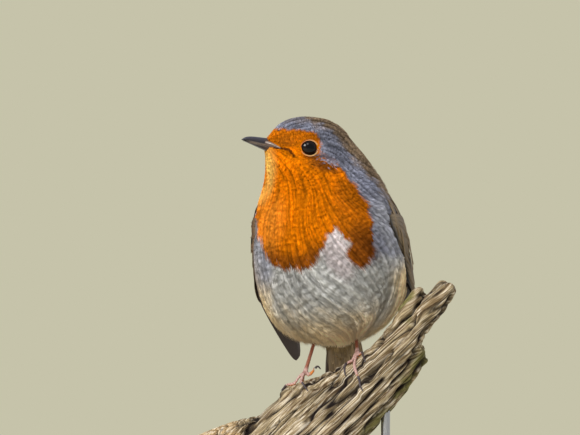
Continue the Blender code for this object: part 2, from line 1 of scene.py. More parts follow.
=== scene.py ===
import itertools
import math

import bmesh
import bpy
import numpy as np
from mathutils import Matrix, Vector, kdtree, noise
from mathutils.bvhtree import BVHTree


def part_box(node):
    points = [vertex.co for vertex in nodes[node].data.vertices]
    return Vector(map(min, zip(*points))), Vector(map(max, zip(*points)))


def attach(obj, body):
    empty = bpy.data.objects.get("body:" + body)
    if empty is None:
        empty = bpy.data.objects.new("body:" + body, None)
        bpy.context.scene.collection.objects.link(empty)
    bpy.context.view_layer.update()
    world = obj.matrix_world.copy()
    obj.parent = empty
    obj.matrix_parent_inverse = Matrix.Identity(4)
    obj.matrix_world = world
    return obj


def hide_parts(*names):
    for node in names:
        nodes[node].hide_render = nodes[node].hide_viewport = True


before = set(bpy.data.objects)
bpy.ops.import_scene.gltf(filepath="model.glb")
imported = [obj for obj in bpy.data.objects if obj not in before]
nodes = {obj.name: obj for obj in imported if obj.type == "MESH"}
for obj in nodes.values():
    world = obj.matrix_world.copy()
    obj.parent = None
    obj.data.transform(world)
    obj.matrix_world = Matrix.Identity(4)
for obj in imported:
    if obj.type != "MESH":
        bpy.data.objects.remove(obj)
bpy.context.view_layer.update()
mm = 0.001  # the tables below are in millimetres
dice = np.random.default_rng(11)
bpy.context.scene.view_settings.view_transform = "Standard"


# small helpers

def unit(v):
    return v / np.maximum(np.linalg.norm(v, axis=-1, keepdims=True), 1e-9)


def rise(low, high, x):
    t = np.clip((x - low) / (high - low), 0, 1)
    return t * t * (3 - 2 * t)


def mixed(a, b, t):
    return a + (b - a) * t


def speckle(spots, size, seed=0):
    # noise from -1 to 1 at each spot
    shift = Vector((seed * 7.3, seed * 3.1, seed * 5.7))
    return np.array([noise.noise(Vector(p) / size + shift) for p in spots])


lattice = np.random.default_rng(5).random((4, 32, 32, 32)) * 2 - 1


def cornersOf(at):
    # the eight cells round each spot of a grid, and each one's share
    base = np.floor(at).astype(int)
    part = at - base
    for corner in itertools.product((0, 1), repeat=at.shape[1]):
        yield base + corner, np.prod(np.where(corner, part, 1 - part), axis=1)


def grit(spots, size, seed):
    # quicker noise, for the many strands
    total = 0
    for cells, share in cornersOf(spots / size + 200.0):
        i, j, k = (cells % 32).T
        total = total + lattice[seed, i, j, k] * share
    return total


def meshPiece(name, spots, faces, finish):
    mesh = bpy.data.meshes.new(name)
    faces = np.asarray(faces, dtype=np.int32)
    mesh.vertices.add(len(spots))
    mesh.vertices.foreach_set("co", (np.asarray(spots, dtype=np.float64) * mm).ravel())
    mesh.loops.add(faces.size)
    mesh.loops.foreach_set("vertex_index", faces.ravel())
    mesh.polygons.add(len(faces))
    mesh.polygons.foreach_set("loop_start", np.arange(0, faces.size, faces.shape[1], dtype=np.int32))
    mesh.polygons.foreach_set("use_smooth", np.full(len(faces), True))
    mesh.update(calc_edges=True)
    piece = bpy.data.objects.new(name, mesh)
    bpy.context.scene.collection.objects.link(piece)
    mesh.materials.append(finish)
    return piece


def spotsOf(mesh):
    co = np.empty(len(mesh.vertices) * 3)
    mesh.vertices.foreach_get("co", co)
    return co.reshape(-1, 3) / mm


def normalsOf(mesh):
    directions = np.empty(len(mesh.vertices) * 3)
    mesh.vertex_normals.foreach_get("vector", directions)
    return directions.reshape(-1, 3)


def putSpots(mesh, spots):
    mesh.vertices.foreach_set("co", (spots * mm).ravel())
    mesh.update()


def relaxed(spots, edges, times, share=0.5):
    # spots drawn towards the middle of their neighbours
    count = np.maximum(np.bincount(edges.ravel(), minlength=len(spots)), 1)[:, None]
    for _ in range(times):
        total = np.stack([
            np.bincount(edges[:, 0], spots[edges[:, 1], k], len(spots))
            + np.bincount(edges[:, 1], spots[edges[:, 0], k], len(spots)) for k in range(3)], axis=1)
        spots = mixed(spots, total / count, share)
    return spots


def edgesOf(mesh):
    edges = np.empty(len(mesh.edges) * 2, dtype=np.int32)
    mesh.edges.foreach_get("vertices", edges)
    return edges.reshape(-1, 2)


def mergedCopy(nodeName, grow=0.0):
    # a CAD node's mesh with its loose triangles joined, pushed out by grow
    bm = bmesh.new()
    bm.from_mesh(nodes[nodeName].data)
    bmesh.ops.remove_doubles(bm, verts=bm.verts, dist=0.01 * mm)
    bm.normal_update()
    for vertex in bm.verts:
        vertex.co += vertex.normal * grow * mm
    return bm


def remeshed(name, shells, voxel):
    # one closed skin round several overlapping shells
    whole = bmesh.new()
    for shell in shells:
        part = bpy.data.meshes.new("part")
        shell.to_mesh(part)
        shell.free()
        whole.from_mesh(part)
        bpy.data.meshes.remove(part)
    mesh = bpy.data.meshes.new(name)
    whole.to_mesh(mesh)
    whole.free()
    piece = bpy.data.objects.new(name, mesh)
    bpy.context.scene.collection.objects.link(piece)
    bpy.ops.object.select_all(action="DESELECT")
    bpy.context.view_layer.objects.active = piece
    piece.select_set(True)
    remesh = piece.modifiers.new("remesh", "REMESH")
    remesh.mode = "VOXEL"
    remesh.voxel_size = voxel * mm
    bpy.ops.object.modifier_apply(modifier=remesh.name)
    piece.data.polygons.foreach_set("use_smooth", np.full(len(piece.data.polygons), True))
    return piece


def turnOutwards(piece):
    # a closed piece's faces all made to point outwards
    bm = bmesh.new()
    bm.from_mesh(piece.data)
    bmesh.ops.recalc_face_normals(bm, faces=bm.faces)
    bm.to_mesh(piece.data)
    bm.free()


def layMarks(mesh, name, values):
    # four values a vertex, which a material reads by name
    layer = mesh.attributes.new(name, "FLOAT_COLOR", "POINT")
    layer.data.foreach_set("color", np.asarray(values, dtype=np.float32).ravel())


def finished(piece, slot, *stoodFor):
    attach(piece, "root")
    if stoodFor:
        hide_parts(*stoodFor)


# where the head is and which way it looks, from its eyes and bill

def middleOf(nodeName):
    low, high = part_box(nodeName)
    return np.array((low + high) / 2) / mm


headPlace = {"pitch": 7.0, "eyeForward": 4.4, "eyeUp": 0.4}
eyeSpots = {1: middleOf("eye_left"), -1: middleOf("eye_right")}
headLeft = unit(eyeSpots[1] - eyeSpots[-1])
levelForward = np.cross(headLeft, (0, 0, 1.0))
pitch = math.radians(headPlace["pitch"])
headForward = levelForward * math.cos(pitch) + np.array((0, 0, math.sin(pitch)))
headUp = np.cross(headForward, headLeft)
headAxes = np.stack([headForward, headLeft, headUp])
headCentre = (eyeSpots[1] + eyeSpots[-1]) / 2
headCentre = headCentre - headForward * headPlace["eyeForward"] - headUp * headPlace["eyeUp"]


def inHead(spots):
    return (spots - headCentre) @ headAxes.T


def fromHead(spots):
    return np.asarray(spots, dtype=float) @ headAxes + headCentre


eyeOpening = {
    "long": 3.02, "high": 2.60, "ball": 3.45, "forward": 0.10, "upward": 0.02,
    "clear": 1.17, "near": 2.2, "brow": 2.1, "browRise": 1.3, "farFrom": 1.55, "farRise": 5.0,
}


def eyeAxes(side):
    # the ways to the front, up and out of an eye
    out = unit(headLeft * side + headForward * eyeOpening["forward"] + headUp * eyeOpening["upward"])
    front = unit(headForward - out * (headForward @ out))
    return np.stack([front, np.cross(front, out) * side, out])


def aroundEye(spots, side):
    # each spot's place from the eye's middle, and how many openings wide it lies
    local = (spots - eyeSpots[side]) @ eyeAxes(side).T
    return local, np.hypot(local[:, 0] / eyeOpening["long"], local[:, 1] / eyeOpening["high"])


def eyeGapOf(spots):
    # distance from the nearer eye's middle
    return np.minimum(*[np.linalg.norm(spots - eyeSpots[side], axis=1) for side in (1, -1)])


def clearOfEyes(spots):
    # spots moved out of the eyes' openings, and down to the lids beside them
    clear = eyeOpening["clear"]
    for side in (1, -1):
        local, wide = aroundEye(spots, side)
        near = (wide < eyeOpening["near"]) & (local[:, 2] > 0)
        push = np.where(near, np.maximum(clear / np.maximum(wide, 0.05), 1), 1)
        local[:, :2] *= push[:, None]
        brow = eyeOpening["brow"] + np.maximum(wide * push - clear, 0) * eyeOpening["browRise"]
        brow = brow + np.maximum(wide - eyeOpening["farFrom"], 0) * eyeOpening["farRise"]
        local[:, 2] = np.where(near, np.minimum(local[:, 2], brow), local[:, 2])
        spots = np.where(near[:, None], eyeSpots[side] + local @ eyeAxes(side), spots)
    return spots


# the skin

skinSizes = {
    "voxel": 0.75, "overlap": 0.35, "smoothing": 10, "smoothingSunk": 4, "billCut": 18.2, "underBall": 3.1,
    "lid": 1.65, "lidFrom": 1.1, "lidTo": 2.3, "lidRise": 1.5, "farLidFrom": 1.65, "farLidRise": 3.5,
}


def coatDepth(spots):
    # how deep the coat is over the skin at each spot
    head = inHead(spots)
    onHead = rise(139, 152, spots[:, 2])
    body = mixed(1.9, 1.3, rise(96, 116, spots[:, 2]))
    body = mixed(body, 1.1, rise(8, 22, spots[:, 1]))
    face = mixed(0.9, 0.55, rise(-4, 9, head[:, 0]))
    face = mixed(face, 1.1, rise(-4, -14, head[:, 2]))
    deep = mixed(body, face, onHead)
    return deep * mixed(0.55, 1.0, rise(3.2, 6.5, eyeGapOf(spots)))


def makeSkin():
    shells = [mergedCopy(part, skinSizes["overlap"]) for part in ("head", "neck", "trunk", "eye_left", "eye_right")]
    for part in ("bill_upper", "bill_lower"):
        shell = mergedCopy(part, skinSizes["overlap"])
        cutAt = Vector(fromHead([skinSizes["billCut"], 0, 0]) * mm)
        cut = bmesh.ops.bisect_plane(shell, geom=shell.verts[:] + shell.edges[:] + shell.faces[:],
                                     plane_co=cutAt, plane_no=Vector(headForward), clear_outer=True)
        rim = [e for e in cut["geom_cut"] if isinstance(e, bmesh.types.BMEdge)]
        bmesh.ops.holes_fill(shell, edges=rim)
        shells.append(shell)
    skin = remeshed("skin", shells, skinSizes["voxel"])
    spots = relaxed(spotsOf(skin.data), edgesOf(skin.data), skinSizes["smoothing"])
    putSpots(skin.data, spots)
    outer = spots.copy()
    sink = coatDepth(spots) + skinSizes["overlap"] * 0.6
    spots = spots - normalsOf(skin.data) * sink[:, None]
    spots = relaxed(spots, edgesOf(skin.data), skinSizes["smoothingSunk"])
    for side in (1, -1):  # under the ball in the opening, and low beside it
        local, wide = aroundEye(spots, side)
        size = np.linalg.norm(local, axis=1, keepdims=True)
        inside = (wide < skinSizes["lidFrom"]) & (local[:, 2] > 0)
        local = np.where(inside[:, None], local * np.minimum(skinSizes["underBall"] / size, 1), local)
        beside = (wide >= skinSizes["lidFrom"]) & (wide < skinSizes["lidTo"]) & (local[:, 2] > 0)
        lid = skinSizes["lid"] + (wide - skinSizes["lidFrom"]) * skinSizes["lidRise"]
        lid = lid + np.maximum(wide - skinSizes["farLidFrom"], 0) * skinSizes["farLidRise"]
        local[:, 2] = np.where(beside, np.minimum(local[:, 2], lid), local[:, 2])
        spots = eyeSpots[side] + local @ eyeAxes(side)
    putSpots(skin.data, spots)
    return skin, outer


skin, coatTips = makeSkin()
print("skin:", len(skin.data.polygons), "faces")


# what colours lie where

slices = np.arange(90, 168, 2.0)


def sliceTable():
    # the middle and half width of the body at each height
    rows = []
    for z in slices:
        near = coatTips[(np.abs(coatTips[:, 2] - z) < 1.6) & (coatTips[:, 1] < mixed(20, 40, rise(100, 118, z)))]
        low, high = near.min(0), near.max(0)
        rows.append(((low[0] + high[0]) / 2, (low[1] + high[1]) / 2, (high[0] - low[0]) / 2, (high[1] - low[1]) / 2))
    return np.array(rows)


bodySlices = sliceTable()


def around(spots):
    # angle round the body from the front, to the bird's left, and the spot's distance across the front
    row = [np.interp(spots[:, 2], slices, bodySlices[:, k]) for k in range(3)]
    angle = np.arctan2(spots[:, 0] - row[0], -(spots[:, 1] - row[1]))
    past = np.maximum(np.abs(angle) - math.pi / 2, 0)
    across = np.where(past > 0, row[0] + np.sign(angle) * row[2] * (1 + past), spots[:, 0])
    return angle, across


bibOutline = (
    (-21.7, 163.1), (-17.5, 163.7), (-12.8, 163.1), (-7.4, 162.7), (-5.4, 162.0), (-4.4, 160.4), (-3.9, 158.0),
    (-4.9, 155.5), (-2.7, 155.0), (0.0, 152.9), (2.7, 150.3), (3.7, 149.0), (4.4, 146.2), (7.6, 144.2),
    (9.4, 140.8), (11.2, 138.2), (12.0, 133.9), (13.5, 127.5), (12.8, 124.2), (14.4, 121.6), (11.8, 118.0),
    (10.1, 114.9), (6.8, 116.1), (4.6, 118.7), (4.2, 121.6), (5.8, 123.6), (3.4, 127.0), (0.4, 129.0),
    (-1.7, 126.7), (-3.4, 122.1), (-5.9, 117.4), (-9.3, 114.9), (-17.3, 114.9), (-21.5, 117.0), (-24.4, 122.5),
    (-25.5, 127.1), (-25.9, 131.4), (-26.6, 135.5), (-29.0, 138.5), (-40.0, 150.0), (-40.0, 163.1),
)
oliveOutline = (
    (-13.0, 170.0), (-10.7, 168.2), (-8.9, 166.6), (-6.5, 165.0), (-1.8, 163.4), (1.8, 160.0), (3.8, 157.1),
    (7.0, 153.0), (11.5, 146.5), (15.8, 140.5), (21.3, 135.2), (24.2, 129.4), (26.0, 122.0), (60.0, 118.0),
    (60.0, 175.0), (-13.0, 175.0),
)


def nearLine(across, up, line):
    # distance from an open line of (across, up) points
    best = np.full(len(across), 1e9)
    for (ax, az), (bx, bz) in zip(line, line[1:]):
        ex, ez = bx - ax, bz - az
        t = np.clip(((across - ax) * ex + (up - az) * ez) / (ex * ex + ez * ez), 0, 1)
        best = np.minimum(best, np.hypot(across - ax - t * ex, up - az - t * ez))
    return best


def insideBy(across, up, outline):
    # distance inside a closed outline, less than nothing outside it
    closed = outline + outline[:1]
    best = nearLine(across, up, closed)
    inside = np.zeros(len(across), dtype=bool)
    for (ax, az), (bx, bz) in zip(closed, closed[1:]):
        if az != bz:
            inside ^= ((az > up) != (bz > up)) & (across < (bx - ax) * (up - az) / (bz - az) + ax)
    return np.where(inside, best, -best)


def oval(across, up, middle, halfLong, halfShort, slope):
    # 0 at the middle of a slanted oval, 1 on its edge
    x, z = across - middle[0], up - middle[1]
    turn = math.radians(slope)
    return np.hypot((x * math.cos(turn) + z * math.sin(turn)) / halfLong,
                    (z * math.cos(turn) - x * math.sin(turn)) / halfShort)


wingEdge = ((19.4, 134.7), (20.9, 129.3), (23.5, 123.1), (25.2, 117.7), (26.4, 111.9), (27.4, 106.0), (27.6, 100.0))
wingFringe = ((19.2, 132.6), (20.4, 127.8), (21.8, 123.1))
# the fold of the feathers along the gape, where shade is painted
gapeShadowLine = ((-20.5, 157.0), (-18.4, 156.9), (-15.6, 156.2), (-14.2, 154.9), (-13.7, 154.0))
patches = {  # middle across and up, half length and half width, slope
    "bibNotch": ((1.2, 120.5), 9.5, 5.0, 110), "paleSide": ((17.5, 130.0), 12.0, 4.5, 112),
    "rustCheek": ((-3.6, 151.7), 7.2, 2.9, -22), "rustChin": ((-16.0, 159.6), 4.5, 2.2, -15),
    "throatHighlight": ((-24.2, 147.0), 10.5, 4.4, 84), "breastHighlight": ((-21.5, 131.0), 12.0, 6.5, 80),
    "lore": ((-17.6, 158.2), 3.4, 1.1, -10), "shadedLobe": ((12.6, 123.0), 6.5, 2.8, 105),
    "greyCheek": ((-1.0, 152.9), 5.6, 2.3, -28),
}


def shownPlace(spots):
    # each spot seen from the front, the head's far side as its near side, and the angle round the body
    head = inHead(spots)
    onHead = rise(136, 149, spots[:, 2])
    mirrored = fromHead(np.stack([head[:, 0], np.abs(head[:, 1]), head[:, 2]], axis=1))
    shown = mixed(spots, mirrored, (onHead * (head[:, 1] < 0))[:, None])
    angle, across = around(shown)
    return head, onHead, np.abs(angle), across, shown[:, 2]


def markings(spots):
    # how orange, grey, olive and rusty (with painted shade), then buff, pale, dark (with painted shade) and under-tail,
    # then painted highlight each spot is
    head, onHead, turnAway, across, up = shownPlace(spots)
    broken = speckle(spots, 3.2, 1) * 1.2 + speckle(spots, 1.3, 2) * 0.7  # ragged edges
    inBib = insideBy(across, up, bibOutline) + broken * mixed(0.75, 0.6, onHead)
    orange = rise(-0.5, 0.5, inBib)
    # olive: the crown, behind the bib, the back and a sliver of the right wing
    crown = rise(9.6, 11.8, head[:, 2] + 1.2 * broken + 0.25 * (1 - head[:, 0])) * onHead
    behind = rise(-1.5, 1.5, insideBy(across, up, oliveOutline) + 1.3 * broken) * 0.95
    forecrown = rise(7.5, 9.5, head[:, 2] + broken) * rise(1.0, 6.0, head[:, 0]) * onHead * 0.30
    back = rise(1.35, 1.85, turnAway + 0.1 * broken) * rise(100, 112, up) * (1 - onHead)
    back = np.maximum(back, rise(1.9, 2.3, turnAway))
    sliver = rise(-26.6, -27.6, spots[:, 0]) * rise(134.5, 132, up) * rise(114, 118, up)
    olive = np.clip(np.max([crown, behind, back, forecrown, sliver], axis=0), 0, 1)
    # the grey border, with the pale notch in the bib and the pale fringe before the wing
    side = rise(8.0, 12.0, across) * rise(113, 125, up + 3 * broken)
    strip = rise(-19.5, -22.5, across) * rise(103, 114, up) * 0.75
    grey = np.maximum(np.maximum(rise(130, 140, up), side), strip)
    notch = rise(1.25, 0.7, oval(across, up, *patches["bibNotch"])) * (1 - onHead)
    grey = grey * (1 - notch) * (1 - 0.28 * rise(1.2, 0.4, oval(across, up, *patches["paleSide"])))
    fringe = rise(0.75, 0.35, nearLine(spots[:, 0], up, wingFringe))
    notch = np.maximum(notch, fringe)
    # where the orange is rusty, where painted shade darkens it on the bib's right side and along its lower edge, and
    # where a painted highlight makes it yellower
    # painted shade: the bib's right side darker, here and in the next line
    rustAndShade = rise(2.5, 7.0, across + broken) * rise(140, 124, up) * (1 - onHead) * 0.95
    rustAndShade = np.maximum(rustAndShade, 0.42 * rise(-4, 3, across + 2 * broken) * rise(149, 144, up))
    # painted shade along the bib's lower edge
    rustAndShade = np.maximum(rustAndShade, 0.9 * rise(9.0, 2.0, inBib) * rise(127, 119, up) * (1 - onHead))
    rustAndShade = np.maximum(rustAndShade, 0.38 * rise(158.0, 160.5, up))
    cheek = rise(1.3, 0.5, oval(across, up, *patches["rustCheek"]) + 0.2 * broken) * onHead
    rustAndShade = np.maximum(rustAndShade, cheek * 0.9)
    rustAndShade = np.maximum(rustAndShade, rise(1.3, 0.4, oval(across, up, *patches["rustChin"])) * onHead * 0.55)
    # painted highlight: the sunlit left edge of the throat and breast paler and yellower
    highlight = rise(1.3, 0.3, oval(across, up, *patches["throatHighlight"]))
    highlight = np.maximum(highlight, rise(1.2, 0.2, oval(across, up, *patches["breastHighlight"])) * 0.12)
    # buff low on the belly and flanks, then the dark marks: the lores, the wing's sliver, and painted shade along the
    # gape and on the right lobe
    buff = rise(107, 89, up + 3 * broken) * 0.9
    buff = np.maximum(buff, rise(-19.0, -25.0, across + broken) * rise(116, 106, up) * 0.9)
    buff = np.maximum(buff, rise(18.0, 25.0, across + broken) * rise(122, 112, up) * 0.9)
    buff = np.maximum(buff, rise(0.95, 1.45, turnAway) * rise(126, 112, up) * 0.85)
    # painted shade in the fold of the feathers along the gape
    gape = rise(0.62, 0.22, nearLine(across, up, gapeShadowLine)) * onHead
    lore = rise(1.2, 0.5, oval(across, up, *patches["lore"])) * onHead
    strand = speckle(spots, 0.55, 12)
    # painted shade on the bib's right lobe
    lobe = rise(1.0, 0.6, oval(across, up, *patches["shadedLobe"]) + strand) * (1 - onHead)
    dark = np.clip(lore * 0.35 + gape * 0.95 + sliver * 0.35 + lobe * 0.30, 0, 1)
    greyCheek = rise(0.9, 0.8, oval(across, up, *patches["greyCheek"]) + 1.1 * strand) * onHead
    orange = orange * (1 - 0.85 * greyCheek)
    under = rise(93, 86, up) * rise(2, 9, spots[:, 1])
    return np.stack([orange, grey, olive, rustAndShade], axis=1), np.stack([buff, notch, dark, under], axis=1), highlight


# materials

def place(tree, kind, inputs=None, **settings):
    # a node, with its inputs given as values or as other nodes' outputs
    node = tree.nodes.new(kind)
    for key, value in settings.items():
        setattr(node, key, value)
    for key, value in (inputs or {}).items():
        if isinstance(value, bpy.types.NodeSocket):
            tree.links.new(value, node.inputs[key])
        else:
            node.inputs[key].default_value = value
    return node


def blended(tree, share, a, b, way="MIX"):
    return place(tree, "ShaderNodeMix", {0: share, 6: a, 7: b}, data_type="RGBA", blend_type=way).outputs[2]


def counted(tree, way, a, b=0.0):
    return place(tree, "ShaderNodeMath", {0: a, 1: b}, operation=way).outputs[0]


def ranged(tree, value, low, high, least=0.0, most=1.0):
    # a value between low and high brought to one between least and most
    return place(tree, "ShaderNodeMapRange", {0: value, 1: low, 2: high, 3: least, 4: most}).outputs[0]


def noisy(tree, spot, scale, **settings):
    return place(tree, "ShaderNodeTexNoise", {"Vector": spot, "Scale": scale, **settings}).outputs["Fac"]


def marksOf(tree, name):
    # the four values that each vertex carries under a name
    marks = place(tree, "ShaderNodeAttribute", attribute_name=name)
    return [*place(tree, "ShaderNodeSeparateColor", {0: marks.outputs["Color"]}).outputs, marks.outputs["Alpha"]]


def bumped(tree, shader, height, strength, depth):
    bump = place(tree, "ShaderNodeBump", {"Height": height, "Strength": strength, "Distance": depth})
    tree.links.new(bump.outputs[0], shader.inputs["Normal"])


def lit(tree, colour, light):
    # a colour made lighter or darker by a number
    grey = place(tree, "ShaderNodeCombineColor", {0: light, 1: light, 2: light}).outputs[0]
    return blended(tree, 1.0, colour, grey, "MULTIPLY")


def paint(red, green, blue):
    # a colour from its screen values, 0 to 255
    shares = (red / 255, green / 255, blue / 255)
    return tuple(c / 12.92 if c < 0.04045 else ((c + 0.055) / 1.055) ** 2.4 for c in shares) + (1.0,)


def newMaterial(name, **sockets):
    finish = bpy.data.materials.new(name)
    finish.use_nodes = True
    shader = finish.node_tree.nodes["Principled BSDF"]
    for key, value in sockets.items():
        shader.inputs[key.replace("_", " ")].default_value = value
    return finish, finish.node_tree, shader


plumage = {
    "orange": paint(234, 131, 4),
    # rusty orange, also the colour of the painted shade on the bib
    "rustAndShadeOrange": paint(140, 76, 20),
    # the pale yellowish orange of the painted highlight
    "highlightOrange": paint(255, 214, 112),
    "slateGrey": paint(137, 139, 155),
    "oliveBrown": paint(140, 118, 92),
    "belly": paint(196, 195, 193),
    "buff": paint(238, 214, 170),
    "pinkWhite": paint(224, 213, 214),
    "loreBrown": paint(92, 46, 14),
    "underTail": paint(172, 146, 106),
}


def makePlumageGroup():
    # the coat's colours, one over another by the marks that each spot carries
    tree = bpy.data.node_groups.new("plumageColours", "ShaderNodeTree")
    for key in plumage:
        tree.interface.new_socket(key, in_out="INPUT", socket_type="NodeSocketColor")
    for key in ("tip", "tone", "highlight"):
        tree.interface.new_socket(key, in_out="INPUT", socket_type="NodeSocketFloat")
    tree.interface.new_socket("Color", in_out="OUTPUT", socket_type="NodeSocketColor")
    given = place(tree, "NodeGroupInput").outputs
    orange, grey, olive, rustAndShade = marksOf(tree, "marksA")
    buff, pale, dark, under = marksOf(tree, "marksB")
    colour = blended(tree, buff, given["belly"], given["buff"])
    colour = blended(tree, grey, colour, given["slateGrey"])
    colour = blended(tree, pale, colour, given["pinkWhite"])
    colour = blended(tree, olive, colour, given["oliveBrown"])
    colour = blended(tree, under, colour, given["underTail"])
    # rusty colour and painted shade darken the orange, and a painted highlight turns it yellower
    warm = blended(tree, rustAndShade, given["orange"], given["rustAndShadeOrange"])
    warm = blended(tree, given["highlight"], warm, given["highlightOrange"])
    colour = blended(tree, orange, colour, warm)
    # the dark marks: the lores and the wing's sliver, with painted shade along the gape and on the right lobe
    colour = blended(tree, dark, colour, given["loreBrown"])
    light = counted(tree, "MULTIPLY_ADD", given["tip"], 0.16)
    light.node.inputs[2].default_value = 0.90
    light = counted(tree, "ADD", light, given["tone"])
    place(tree, "NodeGroupOutput", {"Color": lit(tree, colour, light)})
    return tree


plumageGroup = makePlumageGroup()


def plumageMaterial(name, roughness):
    finish, tree, shader = newMaterial(name, Roughness=roughness, Sheen_Roughness=0.5)
    shader.inputs["Specular IOR Level"].default_value = 0.03
    tip, tone, highlight, _ = marksOf(tree, "strand")
    group = place(tree, "ShaderNodeGroup", node_tree=plumageGroup)
    for key, value in plumage.items():
        group.inputs[key].default_value = value
    tree.links.new(tip, group.inputs["tip"])
    tree.links.new(tone, group.inputs["tone"])
    tree.links.new(highlight, group.inputs["highlight"])
    tree.links.new(group.outputs["Color"], shader.inputs["Base Color"])
    return finish


coatFinish = plumageMaterial("coatPlumage", 0.75)
skinFinish = plumageMaterial("skinPlumage", 0.9)

skinSpots = spotsOf(skin.data)
skinLight = {"tip": 0.1, "tone": -0.15}  # the skin shows as the dark between the feathers


def markSkin():
    marksA, marksB, highlight = markings(skinSpots)
    same = np.ones_like(highlight)
    layMarks(skin.data, "marksA", marksA)
    layMarks(skin.data, "marksB", marksB)
    layMarks(skin.data, "strand", np.stack([same * skinLight["tip"], same * skinLight["tone"], highlight, same], axis=1))
    skin.data.materials.append(skinFinish)
    finished(skin, "plumage", "head", "neck", "trunk")


markSkin()
print("skin: marked")


# the lie of the coat

def headWay(u, v, w):
    return np.array((u, v, w), dtype=float) @ headAxes


def lieOfCoat():
    # places and the way that the feathers point there
    rows = [
        (fromHead((13, 0, 8)), headWay(-1, 0, 0.5)),
        (fromHead((2, 0, 12.5)), headWay(-1, 0, 0)),
        (fromHead((-12, 0, 8)), headWay(-1, 0, -0.8)),
        (fromHead((16, 0, -4)), headWay(-0.8, 0, -1)),
        (fromHead((13, 0, -12)), headWay(-0.15, 0, -1)),
    ]
    for side in (1, -1):
        rows += [
            (fromHead((14, 5 * side, 1.5)), headWay(-1, 0.5 * side, 0.05)),
            (fromHead((12, 7 * side, 5)), headWay(-1, 0.3 * side, 0.25)),
            (fromHead((5, 10 * side, 6)), headWay(-1, 0, 0.15)),
            (fromHead((-3, 11 * side, 3)), headWay(-1, 0, -0.2)),
            (fromHead((12, 7 * side, -4)), headWay(-0.9, 0.3 * side, -0.55)),
            (fromHead((3, 10 * side, -5)), headWay(-1, 0, -0.45)),
            (fromHead((-8, 11 * side, -4)), headWay(-0.8, 0, -0.75)),
            (fromHead((6, 8 * side, -11)), headWay(-0.45, 0, -1)),
        ]
    rows += [
        ((6, 12, 148), (0.3, 0.35, -1)), ((16, 0, 143), (0.5, 0.25, -1)), ((-20, 6, 143), (-0.15, 0.25, -1)),
        ((-8, -26, 135), (0.08, 0, -1)), ((-24, -14, 135), (-0.05, 0.1, -1)),
        ((10, -24, 137), (1.1, 0.2, -1)), ((2, -27, 133), (0.6, 0, -1)),
        ((18, -18, 136), (0.7, 0.4, -1)), ((12, -12, 146), (0.9, 0.4, -1)), ((0, -22, 145), (0.35, 0, -1)),
        ((10, -28, 124), (1.05, 0.1, -1)), ((-16, -26, 122), (0.1, 0, -1)), ((-3, -30, 124), (0.55, 0, -1)),
        ((22, -12, 128), (0.2, 0.25, -1)), ((0, -31, 110), (1.1, 0, -0.8)), ((-12, -28, 106), (0.8, 0, -0.9)),
        ((12, -28, 104), (0.9, 0, -0.9)), ((0, -25, 93), (0.7, 0.2, -0.85)), ((-24, -12, 108), (0.12, 0.15, -1)),
        ((3, -31, 117), (0.9, 0, -0.9)), ((-8, -24, 95), (0.7, 0.1, -0.9)), ((-16, -24, 114), (0.35, 0, -1)),
        ((24, -10, 105), (-0.05, 0.2, -1)), ((-16, -10, 92), (0.3, 0.3, -1)), ((18, -8, 92), (-0.1, 0.3, -1)),
        ((3, 5, 84), (0.05, 1, -0.5)), ((2, 20, 90), (0, 1, -1)), ((25, 12, 105), (0, 0.6, -1)),
        ((-25, 12, 105), (0, 0.6, -1)), ((3, 20, 132), (0, 0.45, -1)), ((2, 33, 115), (0, 0.25, -1)),
        ((2, 30, 100), (0, 0.6, -1)),
    ]
    return np.array([r[0] for r in rows]), unit(np.array([r[1] for r in rows], dtype=float))


anchorSpots, anchorWays = lieOfCoat()


def wayOf(spots, normals):
    # the way that the feathers point at each spot, turned to lie on the skin and away from the eyes
    gap = np.linalg.norm(spots[:, None, :] - anchorSpots[None], axis=2)
    weight = 1 / (gap + 1.0) ** 4
    way = unit((weight[:, :, None] * anchorWays[None]).sum(1))
    bellySide = unit(np.cross(normals, way))
    way += bellySide * (speckle(spots, 9.0, 15) * rise(124, 112, spots[:, 2]) * coatSizes["wave"])[:, None]
    for side in (1, -1):
        inward = eyeSpots[side] - spots
        near = rise(7.0, 3.6, np.linalg.norm(inward, axis=1))
        inward = unit(inward)
        way -= inward * (np.maximum((way * inward).sum(1), 0) * near)[:, None]
    way -= normals * (way * normals).sum(1, keepdims=True)
    return unit(way)


# the coat

coatSizes = {
    "tufts": 17500, "blades": 7, "steps": (0.32, 0.38, 0.30), "heights": (-0.15, 0.50, 0.80, 0.93),
    "sway": 0.05, "bendSway": 0.04, "wave": 0.16, "wisp": 1.8, "fineRidge": 0.10, "broadRidge": 0.12, "lowRidge": 0.62,
    "cell": 1.2, "followStep": 0.6, "followSteps": 19, "fineStreak": 0.56, "broadStreak": 1.25, "lockStreak": 3.4,
}
coatTones = {
    "fine": 0.15, "broad": 0.11, "lowBroad": 1.5, "lock": 0.045, "each": 0.025, "softDark": 0.7, "brightTips": 1.35,
    "evenTips": 0.12, "paintedSideLight": 0.16, "paintedBibLight": 0.07, "paintedBellyLight": 0.055, "highlightBoost": 0.22,
}
# the second patch is painted light on the lower right belly, the third painted light on the lit left edge of the breast
lighterPatches = (  # how much lighter, where it is full, then the oval as in patches
    (0.16, 0.3, ((20.0, 127.0), 15.0, 5.5, 112)), (0.10, 0.5, ((15.0, 103.0), 11.0, 5.5, 90)),
    (0.20, 0.5, ((-25.6, 121.0), 6.5, 2.2, 90)),
)
coatPieces = ("coatFaceRight", "coatFaceLeft", "coatCrownRight", "coatCrownLeft", "coatNape", "coatThroat",
              "coatBreastRight", "coatBreastLeft", "coatBelly", "coatFlankRight", "coatFlankLeft",
              "coatMantleRight", "coatMantleLeft", "coatRumpRight", "coatRumpLeft")

skinTree = BVHTree.FromPolygons([Vector(p) for p in skinSpots], [tuple(f.vertices) for f in skin.data.polygons])


